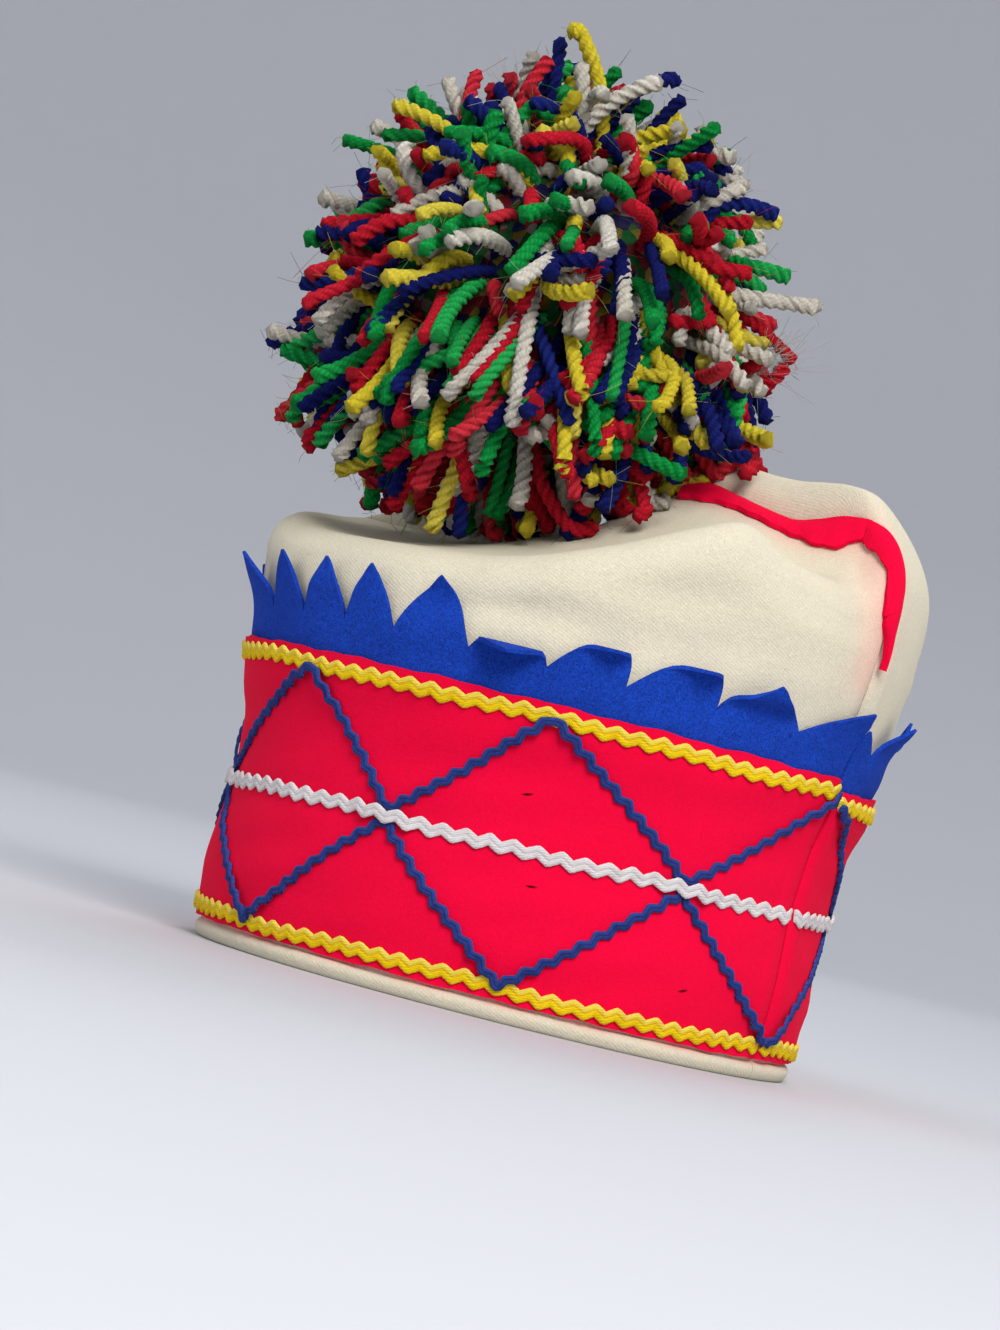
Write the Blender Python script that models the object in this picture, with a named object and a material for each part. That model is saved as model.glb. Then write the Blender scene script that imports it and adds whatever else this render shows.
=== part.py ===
# A pom-pom ski cap of wool felt, standing on its rim.
# Two cream panels, front and back, meet at side seams that run up over the crown. Each panel carries
# a red band, a blue strip cut into points, and flat braid trims. A yarn pompom sits on the crown.
# Metres, +Z up. The side seams lie in the plane y = 0, the front panel faces -Y, and the rim rests on z = 0.
import math
import random

import bmesh
import bpy
from mathutils import Vector

# Overall sizes of the felt tube
HALF_WIDTH = 0.0940
HALF_DEPTH = 0.0885
FELT_WALL = 0.0022
SEAM_GAP = 0.0004
SEAM_MARGIN = 0.0018
LAYER_GAP = 0.0004

# Rolled hem at the rim
HEM_HEIGHT = 0.0075
HEM_WALL = 0.0048
HEM_TURN_UP = 0.0130
HEM_ROUND = 0.0014
HEM_PROUD = 0.0018

# Red band over the hem
BAND_BOTTOM = 0.0081
BAND_TOP = 0.0910
BAND_FELT = 0.0015
BACK_BAND_DROP = 0.0035

# Blue strip, tucked under the top edge of the band
STRIP_TUCK = 0.0065
STRIP_FELT = 0.0014
STRIP_STAND_OFF = 0.07
STRIP_SOLID_HEIGHT = 0.0095
POINT_HEIGHT = 0.0155

# Flat braid trims
TRIM_WIDTH = 0.0042
NAVY_WIDTH = 0.0030
TRIM_THICKNESS = 0.0009
LOWER_ROW = 0.0115
MIDDLE_ROW = 0.0490
UPPER_ROW = 0.0868
ROW_CLEARANCE = 0.0024
LIFT_REACH = 0.0060
LIFT_RAMP = 0.0070

# Crown above the points
SHOULDER_RADIUS = 0.0140
SEAM_RIGHT_INSET = 0.0124
SEAM_LEFT_INSET = 0.0134
SEAM_HEIGHT = 0.1600
RIDGE_DROP = 0.0100
RIDGE_HEIGHT = SEAM_HEIGHT - RIDGE_DROP
CORNER_CROWDING = 0.035
BACK_PUFF = 0.0125
PUFF_PLACE = 0.84
FRONT_VALLEY = 0.0060

# Red strip in the crown seam
SEAM_STRIP_WIDTH = 0.0085
SEAM_STRIP_FELT = 0.0015
SEAM_STRIP_COLUMNS = 6
SEAM_STRIP_TAPER = 0.35
SEAM_STRIP_TAIL = 0.35

# Yarn pompom
POMPOM_RADIUS = 0.0760
POMPOM_CORE = 0.0520
POMPOM_LEFT = 0.0345
POMPOM_FORWARD = 0.0200
POMPOM_RISE = 0.0525
POMPOM_CENTRE = Vector((-POMPOM_LEFT, -POMPOM_FORWARD, SEAM_HEIGHT + POMPOM_RISE))
POMPOM_SEAT_GAP = 0.0012
LOCKS_ACROSS = 5
LOCK_INSET = 0.0012
LOCK_TIP_SHARE = 0.78
LOCK_DROOP = 0.0060

FRONT = -1
BACK = 1
PANEL_COLUMNS = 22

# Heights of the level rows of points that every layer of the wall shares, in steps of which the band's
# top edge lies 182 up
ROW_STEP = BAND_TOP / 182
WALL_ROWS = [0.0, HEM_HEIGHT] + [ROW_STEP * steps for steps in (21, 56, 98, 140, 167)] + [BAND_TOP]
WALL_ROWS += [ROW_STEP * steps for steps in (202, 224, 248, 288, 340)]
LEVEL_ROWS = 8

# Wall sections: height, half width and half depth as shares of BAND_TOP, HALF_WIDTH and HALF_DEPTH
WALL_SECTIONS = [
    {"height": 0.00, "width": 0.982, "depth": 0.985},
    {"height": 0.28, "width": 0.998, "depth": 1.000},
    {"height": 0.55, "width": 0.990, "depth": 0.995},
    {"height": 0.80, "width": 1.010, "depth": 1.010},
    {"height": 1.05, "width": 1.045, "depth": 1.035},
    {"height": 1.25, "width": 1.080, "depth": 1.055},
    {"height": 1.45, "width": 1.100, "depth": 1.060},
    {"height": 1.80, "width": 1.100, "depth": 1.050},
]

# Crown along a panel, from the right seam (place 0) to the left seam (place 1). Ridge heights are shares
# of RIDGE_HEIGHT, seam heights of SEAM_HEIGHT, puff of BACK_PUFF, valley of FRONT_VALLEY, and the two
# bends are shoulder radii as shares of SHOULDER_RADIUS.
CROWN_COLUMNS = ("place", "front", "back", "seam", "puff", "valley", "bend", "back_bend")
CROWN_ROWS = [
    (0.00, 1.095, 1.095, 1.035, 0.00, 0.0, 1.5, 1.5),
    (0.05, 1.060, 1.110, 1.036, 0.70, 0.5, 1.2, 1.6),
    (0.10, 1.030, 1.115, 1.018, 1.00, 1.0, 1.0, 1.7),
    (0.15, 1.030, 1.112, 1.006, 1.00, 1.2, 1.0, 1.8),
    (0.21, 1.040, 1.102, 1.014, 1.00, 1.0, 1.0, 1.7),
    (0.26, 1.005, 1.094, 1.028, 0.95, 0.7, 1.0, 1.6),
    (0.33, 0.922, 1.074, 1.044, 0.80, 0.4, 0.9, 1.5),
    (0.41, 0.862, 1.040, 1.025, 0.60, 0.2, 0.9, 1.4),
    (0.49, 0.806, 1.005, 0.970, 0.50, 0.0, 0.9, 1.3),
    (0.60, 0.812, 0.965, 0.900, 0.40, 0.0, 0.9, 1.2),
    (0.70, 0.842, 0.945, 0.868, 0.40, 0.0, 0.9, 1.2),
    (0.81, 0.888, 0.935, 0.862, 0.50, 0.2, 0.9, 1.2),
    (0.92, 0.912, 0.930, 0.862, 0.40, 0.2, 1.0, 1.1),
    (1.00, 0.920, 0.920, 0.864, 0.00, 0.0, 1.1, 1.1),
]
CROWN_TABLE = [dict(zip(CROWN_COLUMNS, row)) for row in CROWN_ROWS]

# Places along the panels where the navy braids turn, at the upper, the lower and the white row
ZIGZAG_PLACES = {
    FRONT: {"upper": (0.0, 0.33, 0.59, 1.0), "lower": (0.0, 0.32, 0.62, 1.0), "crossing": (0.16, 0.47, 0.80)},
    BACK: {"upper": (0.0, 0.33, 0.67, 1.0), "lower": (0.0, 0.34, 0.66, 1.0), "crossing": (0.16, 0.50, 0.83)},
}

# Soft dents of the walls: place along the panel, height and reach as shares of 1 and BAND_TOP,
# depth as a share of FELT_WALL (positive presses inwards)
WALL_DENTS = [
    {"side": FRONT, "place": 0.37, "height": 1.34, "reach": 0.06, "rise": 0.20, "depth": 1.1},
    {"side": FRONT, "place": 0.22, "height": 1.38, "reach": 0.11, "rise": 0.20, "depth": 1.8},
    {"side": FRONT, "place": 0.47, "height": 1.15, "reach": 0.07, "rise": 0.25, "depth": -0.7},
    {"side": FRONT, "place": 0.77, "height": 0.60, "reach": 0.10, "rise": 0.25, "depth": 0.6},
    {"side": FRONT, "place": 0.80, "height": 0.25, "reach": 0.10, "rise": 0.22, "depth": -0.4},
    {"side": FRONT, "place": 0.33, "height": 0.82, "reach": 0.08, "rise": 0.20, "depth": 0.4},
    {"side": BACK, "place": 0.12, "height": 0.45, "reach": 0.10, "rise": 0.25, "depth": 0.5},
    {"side": BACK, "place": 0.55, "height": 0.60, "reach": 0.15, "rise": 0.30, "depth": 0.5},
]

# Points of the blue strip along a panel: width as a share of the panel, tip height as a share of
# POINT_HEIGHT, lean of the tip in half widths, and how far the tip curls outwards, in degrees
FRONT_POINTS = [
    {"width": 0.094, "tip": 0.70, "lean": -0.9, "curl": 15},
    {"width": 0.103, "tip": 0.85, "lean": 0.0, "curl": 50},
    {"width": 0.099, "tip": 1.00, "lean": -0.5, "curl": 85},
    {"width": 0.081, "tip": 1.00, "lean": -0.5, "curl": 90},
    {"width": 0.084, "tip": 0.95, "lean": 0.0, "curl": 100},
    {"width": 0.085, "tip": 1.05, "lean": 0.1, "curl": 0},
    {"width": 0.067, "tip": 0.95, "lean": 0.3, "curl": 5},
    {"width": 0.073, "tip": 0.90, "lean": 0.4, "curl": 10},
    {"width": 0.069, "tip": 0.85, "lean": 0.3, "curl": 30},
    {"width": 0.085, "tip": 0.95, "lean": 0.2, "curl": 45},
    {"width": 0.080, "tip": 0.96, "lean": 0.0, "curl": 25},
    {"width": 0.080, "tip": 0.95, "lean": 0.2, "curl": 20},
]
BACK_POINTS = [
    {"width": 0.045, "tip": 0.60, "lean": -0.6, "curl": 10},
    {"width": 0.080, "tip": 0.95, "lean": 0.0, "curl": 30},
    {"width": 0.085, "tip": 1.00, "lean": 0.1, "curl": 10},
    {"width": 0.085, "tip": 0.92, "lean": 0.0, "curl": 5},
    {"width": 0.090, "tip": 0.98, "lean": -0.2, "curl": 25},
    {"width": 0.085, "tip": 1.00, "lean": 0.0, "curl": 0},
    {"width": 0.088, "tip": 0.94, "lean": 0.1, "curl": 0},
    {"width": 0.085, "tip": 0.97, "lean": 0.0, "curl": 15},
    {"width": 0.090, "tip": 1.00, "lean": -0.1, "curl": 5},
    {"width": 0.088, "tip": 0.93, "lean": 0.2, "curl": 10},
    {"width": 0.089, "tip": 0.98, "lean": 0.0, "curl": 0},
    {"width": 0.090, "tip": 0.95, "lean": 0.0, "curl": 15},
]

COLOURS = {
    "cream_felt": (0.85, 0.79, 0.62, 1.0),
    "red_felt": (0.66, 0.01, 0.03, 1.0),
    "blue_felt": (0.01, 0.05, 0.42, 1.0),
    "yellow_braid": (0.90, 0.55, 0.03, 1.0),
    "white_braid": (0.85, 0.83, 0.80, 1.0),
    "navy_braid": (0.02, 0.03, 0.20, 1.0),
    "mixed_yarn": (0.55, 0.20, 0.15, 1.0),
}


def clear_scene():
    for old in list(bpy.data.objects):
        bpy.data.objects.remove(old)


def make_material(name):
    material = bpy.data.materials.new(name)
    material.use_nodes = True
    shader = material.node_tree.nodes["Principled BSDF"]
    shader.inputs["Base Color"].default_value = COLOURS[name]
    shader.inputs["Roughness"].default_value = 0.95
    shader.inputs["Metallic"].default_value = 0.0
    return material


def add_object(name, mesh, collection, material):
    mesh.materials.append(material)
    part = bpy.data.objects.new(name, mesh)
    collection.objects.link(part)
    return part


def ramp(low, high, value):
    return min(1.0, max(0.0, (value - low) / (high - low)))


def smooth_step(low, high, value):
    share = ramp(low, high, value)
    return share * share * (3.0 - 2.0 * share)


def read_table(table, key, at, column):
    # A smooth curve through the column's values, flat past both ends.
    keys = [row[key] for row in table]
    values = [row[column] for row in table]
    if at <= keys[0]:
        return values[0]
    if at >= keys[-1]:
        return values[-1]
    i = max(k for k in range(len(keys) - 1) if keys[k] <= at)

    def slope(k):
        if k in (0, len(keys) - 1):
            return 0.0
        return (values[k + 1] - values[k - 1]) / (keys[k + 1] - keys[k - 1])

    span = keys[i + 1] - keys[i]
    t = (at - keys[i]) / span
    return (
        (2 * t**3 - 3 * t**2 + 1) * values[i]
        + (t**3 - 2 * t**2 + t) * span * slope(i)
        + (3 * t**2 - 2 * t**3) * values[i + 1]
        + (t**3 - t**2) * span * slope(i + 1)
    )


def dent_depth(side, place, height):
    total = 0.0
    for dent in WALL_DENTS:
        if dent["side"] != side:
            continue
        across = (place - dent["place"]) / dent["reach"]
        up = (height / BAND_TOP - dent["height"]) / dent["rise"]
        total += dent["depth"] * FELT_WALL * math.exp(-(across * across + up * up))
    # The panels stay level with each other at their seams.
    return total * smooth_step(0.0, 0.05, place) * smooth_step(0.0, 0.05, 1.0 - place)


def wall_node(side, place, height):
    # A point of the felt tube with its normal: place runs from the right seam (0) to the left seam (1).
    share = height / BAND_TOP
    width = HALF_WIDTH * read_table(WALL_SECTIONS, "height", share, "width")
    depth = HALF_DEPTH * read_table(WALL_SECTIONS, "height", share, "depth")
    turn = math.pi * place
    normal = Vector((math.cos(turn) / width, side * math.sin(turn) / depth, 0.0)).normalized()
    point = Vector((width * math.cos(turn), side * depth * math.sin(turn), height))
    return point - normal * dent_depth(side, place, height), normal


def column_places():
    # Columns stand closer together near the seams, where the crown turns its corners.
    evens = [k / PANEL_COLUMNS for k in range(PANEL_COLUMNS + 1)]
    return [even - CORNER_CROWDING * math.sin(2 * math.pi * even) for even in evens]


def make_lattice():
    # The faceted wall that every layer follows, so that layers never cut through each other.
    lattice = {}
    for side in (FRONT, BACK):
        lattice[side] = [[wall_node(side, place, height) for height in WALL_ROWS] for place in column_places()]
    return lattice


LATTICE = {}


def wall_point(side, place, height, out=0.0):
    if not LATTICE:
        LATTICE.update(make_lattice())
    places = column_places()
    column = max(k for k in range(len(places) - 1) if places[k] <= max(0.0, place))
    row = max(k for k in range(len(WALL_ROWS) - 1) if WALL_ROWS[k] <= height)
    across = (place - places[column]) / (places[column + 1] - places[column])
    up = (height - WALL_ROWS[row]) / (WALL_ROWS[row + 1] - WALL_ROWS[row])
    corners = LATTICE[side][column][row : row + 2] + LATTICE[side][column + 1][row : row + 2]
    points = [point + normal * out for point, normal in corners]
    return points[0].lerp(points[1], up).lerp(points[2].lerp(points[3], up), across)


def crown_at(place, column):
    return read_table(CROWN_TABLE, "place", place, column)


def seam_point(side, place):
    # A point of the seam over the crown, from the right corner to the left one.
    wall_top = HALF_WIDTH * WALL_SECTIONS[-1]["width"]
    right, left = wall_top - SEAM_RIGHT_INSET, SEAM_LEFT_INSET - wall_top
    x = right + (left - right) * place
    return Vector((x, side * SEAM_GAP / 2, SEAM_HEIGHT * crown_at(place, "seam")))


def ridge_at(side, place):
    # The crest of the wall and the radius of its shoulder.
    crest, turn = ("front", "bend") if side == FRONT else ("back", "back_bend")
    return RIDGE_HEIGHT * crown_at(place, crest), SHOULDER_RADIUS * crown_at(place, turn)


def press_under_pompom(point):
    # The crown gives way under the pompom, which rests in the hollow.
    reach = POMPOM_RADIUS + POMPOM_SEAT_GAP
    across = (Vector((point.x, point.y)) - POMPOM_CENTRE.xy).length
    if across >= reach:
        return point
    under = POMPOM_CENTRE.z - math.sqrt(reach * reach - across * across)
    return Vector((point.x, point.y, min(point.z, under)))


def crown_point(side, place, inward):
    # A point of the crown: inward runs from the top of the wall (0) to the crown seam (1).
    ridge, radius = ridge_at(side, place)
    foot = wall_point(side, place, ridge - radius)
    seam = seam_point(side, place)
    flat = (seam - foot).xy.length
    shoulder = min(1.0, radius / flat)
    at = foot.lerp(seam, inward)
    if side == FRONT:
        height = ridge + (seam.z - ridge) * smooth_step(0.0, 1.0, inward)
        height -= FRONT_VALLEY * crown_at(place, "valley") * math.sin(math.pi * inward) ** 2
    else:
        top = seam.z + BACK_PUFF * crown_at(place, "puff")
        if inward < PUFF_PLACE:
            height = ridge + (top - ridge) * smooth_step(0.0, PUFF_PLACE, inward)
        else:
            down = (inward - PUFF_PLACE) / (1.0 - PUFF_PLACE)
            height = seam.z + (top - seam.z) * math.sqrt(max(0.0, 1.0 - down * down))
    if inward < shoulder:
        away = 1.0 - inward / shoulder
        height -= radius * (1.0 - math.sqrt(max(0.0, 1.0 - away * away)))
    return press_under_pompom(Vector((at.x, at.y, height)))


def outer_rows(side, place):
    heights = WALL_ROWS[1 : 1 + LEVEL_ROWS]
    rows = [wall_point(side, place, height) for height in heights]
    ridge, radius = ridge_at(side, place)
    foot = ridge - radius
    last = heights[-1]
    rows.append(wall_point(side, place, last + (foot - last) * 0.5))
    shoulder_top = crown_point(side, place, 0.0)
    rows.append(shoulder_top)
    flat = (seam_point(side, place) - shoulder_top).xy.length
    shoulder = min(0.55, radius / flat)
    steps = [0.12 * shoulder, 0.4 * shoulder, shoulder]
    steps += [shoulder + (1.0 - shoulder) * share for share in (0.22, 0.45, 0.68, 0.86, 0.95, 1.0)]
    rows += [crown_point(side, place, step) for step in steps]
    return rows


def row_normals(grid, side):
    normals = []
    for c, column in enumerate(grid):
        before = grid[max(0, c - 1)]
        after = grid[min(len(grid) - 1, c + 1)]
        found = []
        for r in range(len(column)):
            along = after[r] - before[r]
            up = column[min(len(column) - 1, r + 1)] - column[max(0, r - 1)]
            normal = up.cross(along) * -side
            found.append(normal.normalized())
        normals.append(found)
    return normals


def hem_profile(side, place):
    # The folded hem, from its inner top edge round under the rim to its outer top edge.
    rim = wall_point(side, place, 0.0, HEM_PROUD)
    inside = wall_point(side, place, 0.0, HEM_PROUD - HEM_WALL)
    across = (inside - rim).normalized()
    up = Vector((0.0, 0.0, 1.0))
    return [
        inside + up * HEM_TURN_UP,
        inside + up * HEM_ROUND,
        inside - across * HEM_ROUND,
        rim + across * HEM_ROUND,
        rim + up * HEM_ROUND,
        rim + up * (HEM_HEIGHT - HEM_ROUND) - across * HEM_ROUND * 0.3,
    ]


def loft_columns(name, columns, close_profile=True):
    # Joins equal columns of points into one closed skin, with a cap on each end column.
    mesh = bmesh.new()
    rings = [[mesh.verts.new(point) for point in column] for column in columns]
    count = len(rings[0])
    for left, right in zip(rings, rings[1:]):
        for r in range(count if close_profile else count - 1):
            after = (r + 1) % count
            mesh.faces.new((left[r], left[after], right[after], right[r]))
    mesh.faces.new(rings[0][::-1])
    mesh.faces.new(rings[-1])
    bmesh.ops.recalc_face_normals(mesh, faces=mesh.faces)
    made = bpy.data.meshes.new(name)
    mesh.to_mesh(made)
    mesh.free()
    return made


def make_panel(name, side, collection, material):
    places = column_places()
    grid = [outer_rows(side, place) for place in places]
    normals = row_normals(grid, side)
    columns = []
    for c, place in enumerate(places):
        hem = hem_profile(side, place)
        outer = grid[c]
        inner = [point - normal * FELT_WALL for point, normal in zip(outer, normals[c])]
        # The inner skin starts above the turned-up hem.
        inner = inner[2:]
        column = hem + outer + inner[::-1]
        if c in (0, len(places) - 1):
            for point in column:
                point.y = side * SEAM_GAP / 2
        outer[-1].y = side * SEAM_GAP / 2
        column[len(hem) + len(outer)] = Vector((outer[-1].x, side * SEAM_GAP / 2, outer[-1].z - FELT_WALL))
        columns.append(column)
    mesh = loft_columns(name, columns)
    mesh.shade_smooth()
    return add_object(name, mesh, collection, material)


def drop_at(side, place):
    # The back panel was sewn on a little low at the right seam.
    return BACK_BAND_DROP * (1.0 - place) ** 2 if side == BACK else 0.0


def band_lift(side, place, height):
    # The band stands off where the blue strip is tucked under it.
    edge = BAND_TOP - drop_at(side, place) - STRIP_TUCK
    return (STRIP_FELT + LAYER_GAP) * ramp(WALL_ROWS[5], edge - 0.001, height)


def layer_columns(places, heights_of, point_of, thickness):
    # A felt layer: outer skin up, inner skin down, for each place.
    columns = []
    for place in places:
        heights = heights_of(place)
        outer = [point_of(place, height, thickness) for height in heights]
        inner = [point_of(place, height, 0.0) for height in heights]
        columns.append(outer + inner[::-1])
    return columns


def make_band(name, side, collection, material):
    margin = SEAM_MARGIN

    def heights_of(place):
        top = BAND_TOP - drop_at(side, place)
        tuck = top - STRIP_TUCK
        return [BAND_BOTTOM] + WALL_ROWS[2:6] + [tuck - 0.001, top]

    def point_of(place, height, out):
        lift = LAYER_GAP + band_lift(side, place, height)
        return wall_point(side, place, height, lift + out)

    places = [min(1.0 - margin, max(margin, place)) for place in column_places()]
    mesh = loft_columns(name, layer_columns(places, heights_of, point_of, BAND_FELT))
    mesh.shade_smooth()
    return add_object(name, mesh, collection, material)


def point_outline(points):
    # Places along the panel with the height of the cut edge there, in shares of a point's height.
    outline = []
    start = 0.0
    for k, point in enumerate(points):
        middle = start + point["width"] / 2 * (1.0 + 0.8 * point["lean"])
        end = start + point["width"]
        outline.append((start, 0.0, point))
        outline.append((start + (middle - start) * 0.45, point["tip"] * 0.58, point))
        outline.append((middle, point["tip"], point))
        outline.append((middle + (end - middle) * 0.55, point["tip"] * 0.58, point))
        start = end
    outline.append((start, 0.0, points[-1]))
    return outline


def make_strip(name, side, points, collection, material):
    margin = SEAM_MARGIN
    outline = point_outline(points)
    total = outline[-1][0]
    columns = []
    for start, rise, point in outline:
        place = margin + (1.0 - 2 * margin) * start / total
        top = BAND_TOP - drop_at(side, place)
        base = top + STRIP_SOLID_HEIGHT
        tip = base + max(rise * POINT_HEIGHT, 0.0004)
        heights = [top - STRIP_TUCK, top, base, base + (tip - base) / 2, tip]

        def point_at(height, out):
            out += STRIP_STAND_OFF * max(0.0, height - top)
            curl = math.radians(point["curl"]) * (height - base) / POINT_HEIGHT
            if height <= base or curl < 0.01:
                return wall_point(side, place, height, LAYER_GAP + out)
            radius = (height - base) / curl
            lifted = base + (radius - out) * math.sin(curl)
            away = radius - (radius - out) * math.cos(curl)
            return wall_point(side, place, lifted, LAYER_GAP + away)

        outer = [point_at(height, STRIP_FELT) for height in heights]
        inner = [point_at(height, 0.0) for height in heights]
        columns.append(outer + inner[::-1])
    mesh = loft_columns(name, columns)
    mesh.shade_smooth()
    return add_object(name, mesh, collection, material)


def band_surface(side, place, height, out):
    lift = LAYER_GAP + band_lift(side, place, height) + BAND_FELT
    return wall_point(side, place, height, lift + out)


def trim_columns(side, route, width, lift_of):
    # A flat braid along a route of (place, height) points, mitred where it turns.
    length_scale = math.pi * (HALF_WIDTH + HALF_DEPTH) / 2
    flat = [Vector((place * length_scale, height)) for place, height in route]
    columns = []
    for k, (place, height) in enumerate(route):
        before = (flat[k] - flat[k - 1]).normalized() if k else None
        after = (flat[k + 1] - flat[k]).normalized() if k < len(flat) - 1 else None
        before = before or after
        after = after or before
        along = (before + after).normalized()
        across = Vector((-along.y, along.x))
        half = width / 2 / max(0.5, along.dot(before))
        lift = lift_of(place, height)
        corners = []
        for sign, out in ((-1, 0.0), (-1, TRIM_THICKNESS), (1, TRIM_THICKNESS), (1, 0.0)):
            spot_place = place + sign * across.x * half / length_scale
            spot_height = height + sign * across.y * half
            corners.append(band_surface(side, spot_place, spot_height, LAYER_GAP + lift + out))
        columns.append(corners)
    return columns


def trim_ends():
    return TRIM_WIDTH * 0.35 / (math.pi * HALF_WIDTH)


def level_route(side, row):
    end = trim_ends()
    places = [min(1.0 - end, max(end, place)) for place in column_places()]
    if row == MIDDLE_ROW:
        reach = LIFT_REACH / (math.pi * HALF_WIDTH)
        foot = reach + LIFT_RAMP / (math.pi * HALF_WIDTH)
        for crossing in ZIGZAG_PLACES[side]["crossing"]:
            places = [place for place in places if abs(place - crossing) > foot + 0.005]
            places += [crossing + shift for shift in (-foot, -reach, 0.0, reach, foot)]
    places.sort()
    return [(place, row - (drop_at(side, place) if row == UPPER_ROW else 0.0)) for place in places]


def crossing_lift(side):
    # The middle braid rises where it passes over the navy braids.
    def lift_of(place, height):
        nearest = min(abs(place - crossing) for crossing in ZIGZAG_PLACES[side]["crossing"])
        step = TRIM_THICKNESS + LAYER_GAP
        return step * (1.0 - ramp(LIFT_REACH, LIFT_REACH + LIFT_RAMP, nearest * math.pi * HALF_WIDTH))

    return lift_of


def row_lift(side, row):
    def lift_of(place, height):
        step = TRIM_THICKNESS + LAYER_GAP
        if row > MIDDLE_ROW:
            height += drop_at(side, place)
        return step * (1.0 - ramp(LIFT_REACH, LIFT_REACH + LIFT_RAMP, abs(height - row)))

    return lift_of


def zigzag_route(side, label, far_row, near_row):
    # Starts at the right seam beside the far row and turns back near the middle row.
    end = trim_ends()
    far_places, near_places = ZIGZAG_PLACES[side][label], ZIGZAG_PLACES[side]["crossing"]
    turns = [far_places[0]]
    for near_place, far_place in zip(near_places, far_places[1:]):
        turns += [near_place, far_place]
    route = []
    for leg, (start_place, end_place) in enumerate(zip(turns, turns[1:])):
        # Points stand where the leg meets the columns of the wall, and otherwise a sixth of the leg apart.
        shares = [(place - start_place) / (end_place - start_place) for place in column_places()]
        shares = [share for share in shares if 0.08 < share < 0.92]
        shares += [even / 6 for even in range(7) if min(abs(even / 6 - share) for share in shares) > 0.07]
        shares = sorted(shares)[: None if leg == len(turns) - 2 else -1]
        for share in shares:
            swing = share if leg % 2 == 0 else 1.0 - share
            place = end + (1.0 - 2 * end) * (start_place + (end_place - start_place) * share)
            start = far_row - (drop_at(side, place) if far_row > MIDDLE_ROW else 0.0)
            route.append((place, start + (near_row - start) * swing))
    return route


def make_trim(name, side, route, width, lift_of, collection, material):
    mesh = loft_columns(name, trim_columns(side, route, width, lift_of))
    return add_object(name, mesh, collection, material)


def walk_down(column, distance):
    # The point this far below the top end of a column of points.
    for upper, lower in zip(column[::-1], column[-2::-1]):
        step = (lower - upper).length
        if distance <= step:
            return upper.lerp(lower, distance / step)
        distance -= step
    return column[0]


def seam_strip_stations():
    # Root, middle and edge of the strip, along the crown seam, round the corner and down the side seam.
    places = column_places()[: SEAM_STRIP_COLUMNS + 1]
    columns = [outer_rows(FRONT, place) for place in places]
    steps = (0.0, 0.5, 1.0)
    stations = []
    for c in range(SEAM_STRIP_COLUMNS, 0, -1):
        width = SEAM_STRIP_WIDTH * (1.0 - SEAM_STRIP_TAPER * (c - 1) / SEAM_STRIP_COLUMNS)
        stations.append([walk_down(columns[c], step * width) for step in steps])
    seam, inner = columns[0], columns[1]
    side = []
    for r in range(len(seam) - 3, LEVEL_ROWS, -1):
        share = min(0.9, SEAM_STRIP_WIDTH / (inner[r] - seam[r]).length)
        side.append([seam[r].lerp(inner[r], step * share) for step in steps])
    corner = [seam[-1]] + [stations[-1][k].lerp(side[0][k], 0.5) for k in (1, 2)]
    root = seam[LEVEL_ROWS + 1].lerp(seam[LEVEL_ROWS], SEAM_STRIP_TAIL)
    towards = inner[LEVEL_ROWS + 1].lerp(inner[LEVEL_ROWS], SEAM_STRIP_TAIL)
    share = SEAM_STRIP_WIDTH * 0.2 / (towards - root).length
    tail = [root.lerp(towards, step * share) for step in steps]
    return stations + [corner] + side + [tail]


def make_seam_strip(name, collection, material):
    stations = seam_strip_stations()
    last = len(stations) - 1
    solid = []
    for k, (root, mid, edge) in enumerate(stations):
        before = stations[max(0, k - 1)]
        after = stations[min(last, k + 1)]
        along = (after[1] - before[1]).normalized()
        normal = along.cross(edge - root).normalized()
        if normal.dot(mid - Vector((0.0, 0.0, 0.08))) < 0:
            normal.negate()
        root.y = min(root.y, FRONT * SEAM_GAP)
        low = normal * LAYER_GAP * 2
        high = normal * (LAYER_GAP * 2 + SEAM_STRIP_FELT)
        solid.append([root + low, root + high, mid + high, edge + high, edge + low, mid + low])
    mesh = loft_columns(name, solid)
    return add_object(name, mesh, collection, material)


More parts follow.
